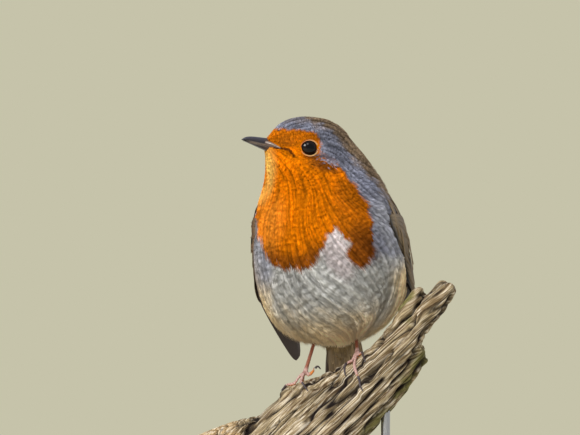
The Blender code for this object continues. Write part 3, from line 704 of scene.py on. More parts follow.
def nearestOnSkin(spots):
    # the skin's own place and direction nearest each spot
    hits = [skinTree.find_nearest(Vector(p)) for p in spots]
    return np.array([h[0] for h in hits]), np.array([h[1] for h in hits])


def makeLieGrid():
    # the way of the coat and the skin's own place in a grid of cells, for following it quickly
    cell, normals = coatSizes["cell"], normalsOf(skin.data)
    low = skinSpots.min(0) - 4 * cell
    counts = tuple(((skinSpots.max(0) - low) / cell).astype(int) + 5)
    rows = np.concatenate([wayOf(skinSpots, normals), normals, skinSpots, np.ones((len(skinSpots), 1))], axis=1)
    cells = np.zeros(counts + (10,))
    np.add.at(cells, tuple(((skinSpots - low) / cell).astype(int).T), rows)
    for _ in range(3):
        spread = sum(np.roll(cells, way, axis) for axis in range(3) for way in (1, -1))
        empty = cells[..., 9] == 0
        cells[empty] = spread[empty]
    return low, cells


gridLow, gridCells = makeLieGrid()


def followed(spots, steps):
    # spots moved along the lie of the coat, one step at a time
    last = np.array(gridCells.shape[:3]) - 1
    for _ in range(abs(steps)):
        found = 0
        for cells, share in cornersOf((spots - gridLow) / coatSizes["cell"] - 0.5):
            found = found + gridCells[tuple(np.clip(cells, 0, last).T)] * share[:, None]
        way, normal = unit(found[:, :3]), unit(found[:, 3:6])
        middle = found[:, 6:9] / np.maximum(found[:, 9:], 1e-6)
        spots = spots + way * coatSizes["followStep"] * np.sign(steps)
        spots = spots - normal * ((spots - middle) * normal).sum(1, keepdims=True)
        yield spots


def streaks(spots, reach):
    # noise in three sizes drawn out along the lie of the coat, its reach in mm
    line = [(0, spots)]
    for way in (-coatSizes["followSteps"], coatSizes["followSteps"]):
        line += [(coatSizes["followStep"] * (k + 1), p) for k, p in enumerate(followed(spots, way))]
    drawn = []
    for seed, size in enumerate((coatSizes["fineStreak"], coatSizes["broadStreak"], coatSizes["lockStreak"])):
        total, weights = 0, 0
        for gap, here in line:
            share = np.exp(-(gap / reach) ** 2)
            total = total + grit(here, size, seed) * share
            weights = weights + share * share
        total = total / np.sqrt(weights)
        drawn.append(total / np.std(total))
    return drawn


def featherSizes(spots):
    # length and width of a tuft, width of a strand and how many tufts a square millimetre
    head = inHead(spots)
    onHead = rise(139, 151, spots[:, 2])
    down = rise(134, 100, spots[:, 2])
    backward = rise(6, 20, spots[:, 1]) * (1 - onHead)
    length = mixed(mixed(4.6, 9.5, down), mixed(3.4, 1.9, rise(-6, 12, head[:, 0])), onHead)
    length = mixed(length, 6.0, backward)
    length *= mixed(0.36, 1.0, rise(3.4, 8.5, eyeGapOf(spots)))
    width = mixed(mixed(mixed(1.8, 2.4, down), 1.1, onHead), 2.9, backward)
    strand = mixed(mixed(0.22, 0.25, down), 0.17, onHead)
    strand *= mixed(0.7, 1.0, rise(3.2, 7.0, eyeGapOf(spots)))
    crowding = mixed(mixed(1.35, 1.15, down), mixed(2.4, 1.7, rise(2, -8, head[:, 0])), onHead)
    crowding = mixed(crowding, 0.62, backward)
    strand = mixed(strand, 0.32, backward)
    return length, width, strand, crowding


fullness = {
    "shoulder": 3.0, "shoulderReach": 4.0, "margin": 0.9, "nape": 2.5, "napeReach": 5.5, "napeAt": (16.0, 145.5),
}


def insideEdge(spots):
    # distance across the front from the line where the left wing comes out from under the coat
    line = np.array(wingEdge)[::-1]
    return np.interp(spots[:, 2], line[:, 1], line[:, 0]) - spots[:, 0]


def fullerBy(spots):
    # how much higher the coat stands over the shoulder in front of the wing and at the side of the nape
    x, y, z, inner = *spots.T, insideEdge(spots)
    shoulder = np.clip(inner - fullness["margin"], 0, fullness["shoulder"])
    shoulder *= np.exp(-(np.maximum(inner - fullness["shoulder"], 0) / fullness["shoulderReach"]) ** 2)
    shoulder *= rise(140, 135, z) * rise(109, 117, z) * rise(16, 11, y) * (x > 0)
    gap = np.hypot(x - fullness["napeAt"][0], (z - fullness["napeAt"][1]) * 0.8)
    return shoulder + fullness["nape"] * np.exp(-(gap / fullness["napeReach"]) ** 2)


def scatter(count):
    # spots spread over the skin, closer where the feathers are smaller, in an order that keeps neighbours together
    mesh = skin.data
    mesh.calc_loop_triangles()
    corners = np.empty(len(mesh.loop_triangles) * 3, dtype=np.int32)
    mesh.loop_triangles.foreach_get("vertices", corners)
    corners = skinSpots[corners.reshape(-1, 3)]
    centres = corners.mean(1)
    area = np.linalg.norm(np.cross(corners[:, 1] - corners[:, 0], corners[:, 2] - corners[:, 0]), axis=1) / 2
    share = area * featherSizes(centres)[3]
    cells = ((centres - centres.min(0)) / 2.0).astype(np.int64)
    order = np.zeros(len(cells), dtype=np.int64)
    for bit in range(7):
        for axis in range(3):
            order |= ((cells[:, axis] >> bit) & 1) << (3 * bit + axis)
    order = np.argsort(order, kind="stable")
    total = np.cumsum(share[order])
    picks = (np.arange(count) + dice.random(count)) / count * total[-1]
    chosen = order[np.minimum(np.searchsorted(total, picks), len(order) - 1)]
    a, b = dice.random((2, count, 1))
    flip = (a + b) > 1
    a, b = np.where(flip, 1 - a, a), np.where(flip, 1 - b, b)
    corner = corners[chosen]
    return corner[:, 0] + a * (corner[:, 1] - corner[:, 0]) + b * (corner[:, 2] - corner[:, 0])


gapePath = (  # forward, to the side, up and half height of the horn that runs back from the bill over the cheek
    (18.9, 0.90, 0.60, 0.35), (17.6, 1.70, 0.50, 0.95), (16.4, 2.80, 0.25, 0.90), (15.3, 4.15, -0.05, 0.60),
    (14.5, 5.30, -0.40, 0.38), (13.8, 6.50, -0.75, 0.18),
)


def gapeGap(spots):
    # distance from the edge of the horn at the gape
    head = inHead(spots)
    head[:, 1] = np.abs(head[:, 1])
    best = np.full(len(spots), 1e9)
    for a, b in zip(np.array(gapePath), np.array(gapePath)[1:]):
        reach = b[:3] - a[:3]
        t = np.clip((head - a[:3]) @ reach / (reach @ reach), 0, 1)
        best = np.minimum(best, np.linalg.norm(head - a[:3] - t[:, None] * reach, axis=1) - mixed(a[3], b[3], t))
    return best


billBase = {"from": 12, "halfWide": 2.0, "halfHigh": 1.9, "up": 0.3, "browUp": 0.9, "browTo": 17.9}


def keptRoots(roots):
    # no feathers in the eyes' openings or on the bill
    head = inHead(roots)
    keep = np.ones(len(roots), dtype=bool)
    for side in (1, -1):
        local, wide = aroundEye(roots, side)
        keep &= (wide > eyeOpening["clear"]) | (local[:, 2] < 0)
    onBill = np.hypot(head[:, 1] / billBase["halfWide"], (head[:, 2] - billBase["up"]) / billBase["halfHigh"]) < 1
    onBill &= head[:, 0] > billBase["from"]
    onBrow = (head[:, 2] > billBase["browUp"]) & (head[:, 0] < billBase["browTo"])
    return keep & (~onBill | onBrow)


partings = {  # heights, angles from the front and places where one coat piece ends and the next begins
    "head": 146, "neck": 134, "belly": 114, "rump": 112, "front": 1.5, "flank": 0.55, "breast": -4, "face": 2,
}


def pieceOf(roots):
    # which coat piece each tuft belongs to, by its number in coatPieces
    head = inHead(roots)
    angle, _ = around(roots)
    z, front = roots[:, 2], np.abs(angle) <= partings["front"]
    onHead, onBody = z > partings["head"], z <= partings["neck"]
    left = np.where(onHead, head[:, 1] > 0, angle > 0).astype(int)
    label = np.where(onBody, np.where(np.abs(angle) > partings["flank"], 9 + left, 8), np.where(front, 5, 4))
    onBreast = onBody & (z > partings["belly"]) & front
    label = np.where(onBreast, np.where(roots[:, 0] < partings["breast"], 6, 7), label)
    label = np.where(onBody & ~front, np.where(z > partings["rump"], 11, 13) + left, label)
    return np.where(onHead, np.where(head[:, 0] > partings["face"], 0, 2) + left, label)


def unwrapped(spots):
    # the skin laid out flat, round the body and up it
    away = spots - np.array((-1.0, 1.0, 122.0))
    around01 = np.arctan2(away[:, 0], -away[:, 1]) / (2 * math.pi) + 0.5
    up01 = np.arctan2(away[:, 2], np.hypot(away[:, 0], away[:, 1])) / math.pi + 0.5
    return np.stack([around01, up01], axis=1)


bladeFaces = np.array([
    (0, 2, 1), (0, 3, 2), (0, 1, 3),
    (1, 2, 5), (1, 5, 4), (2, 3, 6), (2, 6, 5), (3, 1, 4), (3, 4, 6),
    (4, 5, 7), (5, 6, 7), (6, 4, 7),
])


def toneOf(spots, marks, highlight, fine, broad, lock, low):
    # how light each blade is, beyond its colour, painted light included
    x, y, z = spots.T
    contrast = 1 + 0.7 * np.maximum(marks[:, 1], marks[:, 2]) * (1 - marks[:, 0])
    contrast = contrast * mixed(1, 0.6, rise(103, 92, z))
    tone = coatTones["fine"] * fine + coatTones["broad"] * broad * mixed(1, coatTones["lowBroad"], low)
    tone = tone * contrast + dice.normal(0, coatTones["each"], len(spots)) + coatTones["lock"] * lock * low
    pale = (1 - marks[:, 0]) * low
    tone = tone * np.where(tone < 0, mixed(1, coatTones["softDark"], pale), mixed(1, coatTones["brightTips"], pale))
    for lighter, full, patch in lighterPatches:
        tone = tone + lighter * rise(1.3, full, oval(x, z, *patch))
    # painted light: the lit left flank and the bib's left side lighter, the lower belly lighter as if lit from below,
    # and the painted highlight lighter still
    tone = tone + coatTones["paintedSideLight"] * rise(-17.0, -23.0, x) * rise(121, 114, z)
    tone = tone + coatTones["paintedBibLight"] * rise(-18.0, -23.0, x) * rise(138, 130, z) * rise(117, 123, z)
    return tone + coatTones["paintedBellyLight"] * rise(111, 104, z) * rise(20, 10, y) + coatTones["highlightBoost"] * highlight


def makeCoat():
    roots = scatter(coatSizes["tufts"])
    roots = roots[keptRoots(roots)]
    length, width, strand, _ = featherSizes(roots)
    count = len(roots)
    length = length * dice.uniform(0.8, 1.2, count)
    surface, outward = nearestOnSkin(roots)
    line, ways, normals = [surface], [], [outward]
    sway = dice.normal(0, coatSizes["sway"], (count, 1))
    for step in coatSizes["steps"]:
        way = wayOf(line[-1], normals[-1])
        sideways = np.cross(normals[-1], way)
        way = unit(way + sideways * (sway + dice.normal(0, coatSizes["bendSway"], (count, 1))))
        ways.append(way)
        spot, outward = nearestOnSkin(clearOfEyes(line[-1] + way * (length * step)[:, None]))
        line.append(spot)
        normals.append(outward)
    ways.append(ways[-1])
    onGape = sum(gapeGap(spots) < 0.15 for spots in line) > 0
    keep = np.flatnonzero(~onGape)
    line, ways, normals = ([part[keep] for part in parts] for parts in (line, ways, normals))
    roots, width, strand = roots[keep], width[keep], strand[keep]
    print("coat: laid", len(keep), "tufts")
    label = pieceOf(roots)
    flat = unwrapped(roots)
    blades = coatSizes["blades"]
    for number, name in enumerate(coatPieces):
        chosen = np.flatnonzero(label == number)
        n = len(chosen) * blades
        own = np.repeat(chosen, blades)
        x = np.tile(np.linspace(-1, 1, blades), len(chosen)) + dice.normal(0, 0.15, n)
        flatLine = []
        for k in range(4):
            sideways = np.cross(normals[k][own], ways[k][own])
            spread = (0.45 + 0.55 * (k / 3) ** 0.8 - 0.25 * (k == 3)) * width[own] * 0.5 * x
            flatLine.append(line[k][own] + sideways * spread[:, None])
        pull = np.clip(1 - 0.22 * x * x + dice.normal(0, 0.10, n), 0.5, 1.15)[:, None]
        flatLine[3] = mixed(flatLine[2], flatLine[3], pull)
        shown = mixed(flatLine[2], flatLine[3], 0.35)
        onHead, low = rise(139, 151, shown[:, 2]), rise(126, 112, shown[:, 2])
        fine, broad, lock = streaks(shown, mixed(mixed(5.0, 11.0, low), 2.4, onHead))
        ridge = coatSizes["fineRidge"] * fine + coatSizes["broadRidge"] * broad
        ridge = np.clip(0.84 + ridge * mixed(1, coatSizes["lowRidge"], low), 0.4, 1.08)
        tuftMark = mixed(line[1], line[2], 0.6)[own]
        bladeMark = mixed(flatLine[1], flatLine[2], 0.6)
        marksA, marksB, highlight = markings(mixed(tuftMark, bladeMark, 0.35 + 0.6 * onHead[:, None]))
        at = []
        for k in range(4):
            high = coatDepth(line[k][chosen]) + fullerBy(line[k][chosen])
            high = np.repeat(high, blades) * coatSizes["heights"][k] * (ridge if k else 1)
            at.append(clearOfEyes(flatLine[k] + normals[k][own] * high[:, None]))
        loose = mixed(0.22, 1.0, rise(99, 88, at[2][:, 2])) * (1 - onHead) * dice.random(n) ** 1.5
        longer = mixed(1.1, 1.7, rise(94, 84, at[2][:, 2]) * dice.random(n) ** 2)[:, None]
        straight = at[2] + ways[2][own] * np.linalg.norm(at[3] - at[2], axis=1, keepdims=True) * longer
        at[3] = mixed(at[3], straight, loose[:, None])
        wisp = coatSizes["wisp"] * rise(98, 88, at[3][:, 2]) * (1 - onHead) * dice.random(n) ** 3
        at[3] = at[3] + normals[3][own] * wisp[:, None]
        spots = np.empty((n, 8, 3))
        spots[:, 0], spots[:, 7] = at[0], at[3]
        for k, first in ((1, 1), (2, 4)):
            normal = normals[k][own]
            sideways = np.cross(normal, ways[k][own])
            half = (strand[own] * (0.5 if k == 1 else 0.42) * dice.uniform(0.75, 1.25, n))[:, None]
            spots[:, first] = at[k] - sideways * half
            spots[:, first + 1] = at[k] + sideways * half
            spots[:, first + 2] = at[k] + normal * half * 0.6
        faces = (bladeFaces[None] + (np.arange(n) * 8)[:, None, None]).reshape(-1, 3)
        piece = meshPiece(name, spots.reshape(-1, 3), faces, coatFinish)
        layMarks(piece.data, "marksA", np.repeat(marksA, 8, axis=0))
        layMarks(piece.data, "marksB", np.repeat(marksB, 8, axis=0))
        tip = np.tile((0.0, 0.35, 0.35, 0.4, 0.75, 0.75, 0.8, 1.0), n)
        tone = toneOf(shown, marksA, highlight, fine, broad, lock, low)
        tone = np.repeat(np.clip(tone, -0.5, 0.6), 8) - coatTones["evenTips"] * (tip - 0.7) * np.repeat(low, 8)
        layMarks(piece.data, "strand", np.stack([tip, tone, np.repeat(highlight, 8), tone * 0 + 1], axis=1))
        patch = np.stack([np.repeat(x, 8) * 0.0011, (tip - 0.5) * 0.0026], axis=1)
        uv = (np.repeat(flat[own], 8, axis=0) + patch)[faces.ravel()]
        layer = piece.data.uv_layers.new(name="OFBake")
        layer.data.foreach_set("uv", np.clip(uv, 0.0005, 0.9995).astype(np.float32).ravel())
        finished(piece, "plumage")
        print("coat:", name, len(faces), "triangles")


makeCoat()


# the eyes

eyeSizes = {"segments": 72, "rings": 48, "ring": 0.22, "ringLift": 0.06, "ringSteps": 96, "ringSides": 10}


def eyeMaterials():
    # the glossy ball and the beaded ring round its opening
    ballFinish, tree, shader = newMaterial("eyeBall", Roughness=0.03)
    shader.inputs["Specular IOR Level"].default_value = 0.28
    here = place(tree, "ShaderNodeAttribute", attribute_name="iris").outputs["Fac"]
    colour = blended(tree, here, paint(5, 4, 4), paint(22, 13, 8))
    tree.links.new(colour, shader.inputs["Base Color"])
    lidFinish, tree, shader = newMaterial("eyeRing", Roughness=0.7)
    paleness = place(tree, "ShaderNodeAttribute", attribute_name="pale").outputs["Fac"]
    here = place(tree, "ShaderNodeTexCoord").outputs["Object"]
    beads = noisy(tree, here, 2600.0, Detail=2.0)
    colour = blended(tree, paleness, paint(190, 92, 16), paint(240, 198, 132))
    shade = counted(tree, "ADD", counted(tree, "MULTIPLY", beads, 0.6), 0.7)
    tree.links.new(lit(tree, colour, shade), shader.inputs["Base Color"])
    bumped(tree, shader, beads, 0.6, 0.0002)
    return ballFinish, lidFinish


def makeEyes():
    ballFinish, lidFinish = eyeMaterials()
    for side, name in ((1, "Left"), (-1, "Right")):
        front, top, axis = eyeAxes(side)
        bpy.ops.object.select_all(action="DESELECT")
        bpy.ops.mesh.primitive_uv_sphere_add(segments=eyeSizes["segments"], ring_count=eyeSizes["rings"],
                                             radius=eyeOpening["ball"] * mm, location=eyeSpots[side] * mm)
        ball = bpy.context.object
        ball.name = "eyeBall" + name
        bpy.ops.object.shade_smooth()
        bpy.ops.object.transform_apply(location=True, rotation=True, scale=True)
        away = unit(spotsOf(ball.data) - eyeSpots[side]) @ axis
        iris = ball.data.attributes.new("iris", "FLOAT", "POINT")
        iris.data.foreach_set("value", (rise(0.93, 0.90, away) * rise(0.62, 0.72, away)).astype(np.float32))
        ball.data.materials.append(ballFinish)
        finished(ball, "eye", "eye_" + name.lower())
        steps, sides = eyeSizes["ringSteps"], eyeSizes["ringSides"]
        a = np.linspace(0, 2 * math.pi, steps, endpoint=False)[:, None]
        b = np.linspace(0, 2 * math.pi, sides, endpoint=False)[None]
        rear, below = 0.5 - 0.5 * np.cos(a), np.maximum(-np.sin(a), 0)
        wide = eyeSizes["ring"] * (0.55 + 0.6 * rear + 0.3 * below + 0.07 * np.sin(a * 23))
        out = np.hypot(eyeOpening["long"] * np.cos(a), eyeOpening["high"] * np.sin(a))
        ballHigh = np.sqrt(eyeOpening["ball"] ** 2 - out ** 2)
        grow = (out + wide * (1 + np.cos(b))) / out
        high = ballHigh + eyeSizes["ringLift"] + wide * np.sin(b) * 0.8 - wide * (1 + np.cos(b)) * 0.25
        spots = (eyeSpots[side] + axis * high[..., None]
                 + (front * (eyeOpening["long"] * np.cos(a) * grow)[..., None]
                    + top * (eyeOpening["high"] * np.sin(a) * grow)[..., None])).reshape(-1, 3)
        faces = []
        for i in range(steps):
            for k in range(sides):
                j, m = (i + 1) % steps, (k + 1) % sides
                faces.append((i * sides + k, j * sides + k, j * sides + m, i * sides + m))
        ring = meshPiece("eyeRing" + name, spots, faces, lidFinish)
        turnOutwards(ring)
        pale = ring.data.attributes.new("pale", "FLOAT", "POINT")
        shareOfPale = np.clip(0.02 + 0.75 * rear + 0.25 * below + b * 0, 0, 1)
        pale.data.foreach_set("value", shareOfPale.astype(np.float32).ravel())
        finished(ring, "plumage")


makeEyes()
print("eyes: set")


# the wings and the tail

def alongRows(rows, t):
    # the row at t on a smooth curve through evenly spaced rows
    rows = np.asarray(rows, dtype=float)
    reach = np.clip(np.asarray(t, dtype=float), 0, 1) * (len(rows) - 1)
    i = np.minimum(reach.astype(int), len(rows) - 2)
    u = (reach - i)[..., None]
    a, b, c, d = (rows[np.clip(i + k, 0, len(rows) - 1)] for k in (-1, 0, 1, 2))
    return 0.5 * (2 * b + (c - a) * u + (2 * a - 5 * b + 4 * c - d) * u ** 2 + (3 * b - 3 * c + d - a) * u ** 3)


wingRows = (  # middle, outward direction, reach up and down, thickness
    (-22.8, -15.0, 129.5, -0.86, -0.50, 0.12, 3.5, 3.5, 2.2), (-25.9, -8.0, 125.5, -0.93, -0.33, 0.16, 9.0, 7.0, 3.4),
    (-27.3, 1.0, 117.5, -0.98, -0.02, 0.20, 12.5, 8.5, 3.6), (-27.2, 11.0, 108.5, -0.94, 0.26, 0.22, 13.0, 7.5, 3.0),
    (-25.6, 20.5, 99.5, -0.88, 0.40, 0.26, 10.0, 5.5, 2.2), (-23.4, 29.5, 90.8, -0.88, 0.34, 0.32, 5.0, 4.2, 1.6),
    (-21.6, 37.0, 83.6, -0.88, 0.30, 0.36, 2.4, 2.6, 1.1), (-21.0, 39.6, 81.0, -0.88, 0.30, 0.36, 0.9, 1.0, 0.8),
)
bodyTurn = math.radians(-12)


def onWing(side, s, c, layer):
    # a place on the folded wing: s along it, c across it, layer from its inner to its outer face
    s, c, layer = np.broadcast_arrays(np.clip(s, 0, 1), np.asarray(c, dtype=float), np.asarray(layer, dtype=float))
    row = alongRows(wingRows, s)
    ahead, behind = alongRows(wingRows, s + 0.02)[..., :3], alongRows(wingRows, s - 0.02)[..., :3]
    along = unit(ahead - behind)
    out = unit(row[..., 3:6])
    out = unit(out - along * (out * along).sum(-1, keepdims=True))
    across = unit(np.cross(along, out))
    across = np.where(across[..., 2:3] < 0, -across, across)
    reach = np.where(c > 0, row[..., 6], row[..., 7])
    crown = np.sqrt(np.clip(1 - c * c, 0, 1)) * 0.85 + 0.15
    high = row[..., 8] / 2 * crown * (layer * 2 - 1) - (c * reach) ** 2 / 52.0
    spot = row[..., :3] + across * (c * reach)[..., None] + out * high[..., None]
    spot[..., 0] *= -side
    x, y = spot[..., 0].copy(), spot[..., 1].copy()
    spot[..., 0] = x * math.cos(bodyTurn) - y * math.sin(bodyTurn)
    spot[..., 1] = x * math.sin(bodyTurn) + y * math.cos(bodyTurn)
    return spot


tailRows = (  # share of the length, half width, thickness, droop
    (0.00, 3.6, 2.6, 0.9), (0.25, 5.4, 2.4, 0.9), (0.50, 6.4, 2.1, 0.8),
    (0.75, 7.4, 1.7, 0.7), (0.93, 8.0, 1.3, 0.6), (1.00, 7.6, 1.0, 0.5),
)
tailPlace = {"root": (2.2, 22.0, 97.0), "turn": math.radians(86), "slope": math.radians(48), "length": 57.85}


def onTail(s, c, layer):
    # a place on the closed tail, in the same way as on a wing
    s, c, layer = np.broadcast_arrays(np.clip(s, 0, 1), np.asarray(c, dtype=float), np.asarray(layer, dtype=float))
    row = alongRows(tailRows, s)
    lift = row[..., 2] / 2 * (1 - 0.55 * c * c) * (layer * 2 - 1) - row[..., 3] * c * c
    along = tailPlace["length"] * row[..., 0]
    across = row[..., 1] * c
    slope, turn = tailPlace["slope"], tailPlace["turn"]
    x = along * math.cos(slope) + lift * math.sin(slope)
    z = -along * math.sin(slope) + lift * math.cos(slope)
    return np.stack([x * math.cos(turn) - across * math.sin(turn), x * math.sin(turn) + across * math.cos(turn), z],
                    axis=-1) + np.array(tailPlace["root"])


def facesOfTube(rings, ringSize):
    # triangles of a closed tube whose two ends come to a point each
    faces = []
    for i in range(rings - 1):
        for k in range(ringSize):
            a, b = i * ringSize + k, i * ringSize + (k + 1) % ringSize
            faces += [(a, b, b + ringSize), (a, b + ringSize, a + ringSize)]
    first, last = rings * ringSize, rings * ringSize + 1
    for k in range(ringSize):
        j = (k + 1) % ringSize
        faces += [(first, j, k), (last, (rings - 1) * ringSize + k, (rings - 1) * ringSize + j)]
    return np.array(faces)


vaneShape = {"rings": 15, "columns": 7, "thickness": 0.16, "droop": 0.10, "ridge": 0.10}


def vane(surface, base, tip, halfWidth, layer, bluntness, opening=2.2):
    # one feather laid on a surface from base to tip, each given as (s, c): spots and what each one is
    rings, columns = vaneShape["rings"], vaneShape["columns"]
    t = np.linspace(0, 1, rings) ** 0.9
    s = mixed(base[0], tip[0], t)
    c = mixed(base[1], tip[1], t)
    centre = surface(s, c, layer)
    ahead = surface(s + 0.01 * np.sign(tip[0] - base[0]), c + (tip[1] - base[1]) * 0.01, layer)
    way = unit(ahead - centre)
    out = unit(surface(s, c, layer + 0.2) - surface(s, c, layer - 0.2))
    side = unit(np.cross(way, out))
    width = halfWidth * np.clip(0.16 * opening + opening * t, 0, 1) * (1 - t ** bluntness) ** 0.5
    width[-1] = halfWidth * 0.12
    k = np.linspace(-1, 1, columns)
    half = vaneShape["thickness"] / 2
    droop = -vaneShape["droop"] * halfWidth * k[None] ** 2 * np.ones((rings, 1))
    ridge = np.exp(-(k[None] / 0.22) ** 2) * vaneShape["ridge"] * (1.1 - t[:, None])
    flat = centre[:, None] + side[:, None] * k[None, :, None] * width[:, None, None]
    top = flat + out[:, None] * (droop + ridge + half * (np.abs(k[None]) < 1))[:, :, None]
    low = flat + out[:, None] * (droop - half)[:, :, None]
    ring = np.concatenate([top, low[:, -2:0:-1]], axis=1)
    ringSize = ring.shape[1]
    kRing = np.concatenate([k, k[-2:0:-1]])
    spots = np.concatenate([ring.reshape(-1, 3), centre[:1] - way[:1] * 0.2, centre[-1:] + way[-1:] * 0.15])
    across = np.concatenate([np.tile(kRing, rings), (0, 0)])
    along = np.concatenate([np.repeat(t, ringSize), (0, 1)])
    return spots, facesOfTube(rings, ringSize), across * 0.5 + 0.5, along


# the last two place the painted shadow along the wing's edge and give its width
tuck = {"depth": 3.2, "gap": 0.4, "gapShadowWidth": 0.6}


def tuckedIn(spots):
    # in front of the line of wingEdge the left wing lies under the coat of the body's side
    x, y, z = spots.T
    share = rise(-0.2, 0.9, insideEdge(spots)) * rise(138.5, 135.5, z) * rise(14, 9, y) * (x > 5)
    middle = np.stack([np.interp(z, slices, bodySlices[:, k]) for k in (0, 1)] + [z], axis=1)
    return spots + unit(middle - spots) * (share * tuck["depth"])[:, None]


def joinVanes(name, vanes, finish):
    # vanes is a list of (spots, faces, across, along), tone, kind
    spots, faces, marks, start = [], [], [], 0
    for (ownSpots, ownFaces, across, along), tone, kind in vanes:
        spots.append(tuckedIn(ownSpots))
        faces.append(ownFaces + start)
        start += len(ownSpots)
        # painted shadow in the gap where the body's coat meets the wing
        gap = nearLine(ownSpots[:, 0] - tuck["gap"], ownSpots[:, 2], wingEdge)
        gapShadow = np.exp(-(gap / tuck["gapShadowWidth"]) ** 2) * rise(8, 3, ownSpots[:, 1])  # dark where the coat meets it
        marks.append(np.stack([across, along, tone - gapShadow, np.full(len(across), kind)], axis=1))
    piece = meshPiece(name, np.concatenate(spots), np.concatenate(faces), finish)
    layMarks(piece.data, "vane", np.concatenate(marks))
    turnOutwards(piece)
    return piece


vaneLooks = {
    "dark": paint(74, 62, 56), "brown": paint(86, 70, 52), "fringe": paint(150, 128, 98),
    "covert": paint(110, 94, 70), "shaft": paint(40, 30, 22),
}


def vaneMaterial():
    # dark inner webs, brown outer webs with a paler fringe, a shaft and fine slanting barbs
    finish, tree, shader = newMaterial("flightVane", Roughness=0.6)
    shader.inputs["Specular IOR Level"].default_value = 0.3
    across, along, tone, kind = marksOf(tree, "vane")
    gap = counted(tree, "ABSOLUTE", counted(tree, "SUBTRACT", across, 0.5))
    slant = counted(tree, "ADD", counted(tree, "MULTIPLY", along, 60.0), counted(tree, "MULTIPLY", gap, -22.0))
    spot = place(tree, "ShaderNodeCombineXYZ", {0: slant, 1: counted(tree, "MULTIPLY", across, 3.0),
                                               2: counted(tree, "MULTIPLY", tone, 50.0)}).outputs[0]
    barbs = noisy(tree, spot, 1.6, Detail=3.0)
    outer = ranged(tree, across, 0.48, 0.60)
    fringe = ranged(tree, across, 0.86, 0.97)
    end = ranged(tree, along, 0.93, 1.0, 0.0, 0.6)
    fringe = counted(tree, "MAXIMUM", fringe, end)
    colour = blended(tree, outer, vaneLooks["dark"], vaneLooks["brown"])
    colour = blended(tree, counted(tree, "MULTIPLY", kind, 0.85), colour, vaneLooks["covert"])
    colour = blended(tree, counted(tree, "MULTIPLY", fringe, 0.8), colour, vaneLooks["fringe"])
    shaft = ranged(tree, gap, 0.035, 0.012)
    colour = blended(tree, counted(tree, "MULTIPLY", shaft, 0.8), colour, vaneLooks["shaft"])
    light = counted(tree, "ADD", counted(tree, "MULTIPLY", barbs, 0.7), counted(tree, "ADD", tone, 0.74))
    tree.links.new(lit(tree, colour, light), shader.inputs["Base Color"])
    bumped(tree, shader, barbs, 0.35, 0.0002)
    return finish


vaneFinish = vaneMaterial()
wingRowsOfFeathers = (  # kind, count, first and last base, first and last tip, half width, layers, bluntness, plainness
    ("primary", 9, (0.34, -0.62), (0.42, -0.30), (0.998, 0.0), (0.74, -0.35), 1.55, (0.30, 0.52), 5.0, 0.0),
    ("innerPrimary", 5, (0.55, 0.10), (0.50, 0.30), (0.985, 0.55), (0.90, 1.0), 1.7, (0.34, 0.50), 5.0, 0.0),
    ("secondary", 6, (0.30, -0.42), (0.30, 0.40), (0.74, -0.15), (0.66, 0.45), 1.9, (0.45, 0.62), 4.0, 0.0),
    ("tertial", 3, (0.24, 0.30), (0.22, 0.72), (0.69, 0.30), (0.52, 0.78), 2.7, (0.66, 0.80), 3.0, 0.25),
    ("primaryCovert", 6, (0.22, -0.86), (0.24, -0.50), (0.47, -0.80), (0.42, -0.45), 1.2, (0.55, 0.65), 3.5, 0.0),
    ("alula", 3, (0.12, -0.75), (0.14, -0.60), (0.33, -0.86), (0.27, -0.68), 1.2, (0.62, 0.72), 3.5, 0.0),
    ("greaterCovert", 9, (0.18, -0.55), (0.14, 0.84), (0.42, -0.50), (0.38, 0.90), 1.75, (0.68, 0.84), 3.0, 0.55),
    ("medianCovert", 8, (0.10, -0.60), (0.07, 0.80), (0.28, -0.55), (0.25, 0.86), 1.65, (0.82, 0.92), 2.6, 0.75),
    ("lesserCovertA", 8, (0.06, -0.70), (0.04, 0.80), (0.19, -0.65), (0.17, 0.82), 1.5, (0.86, 0.96), 2.2, 0.9),
    ("lesserCovertB", 7, (0.02, -0.80), (0.01, 0.80), (0.12, -0.75), (0.10, 0.80), 1.5, (0.92, 1.0), 2.2, 1.0),
)


wingCore = {"ringSize": 24, "rings": 40, "width": 0.88, "outer": 0.22, "inner": 0.06, "tone": -0.05}


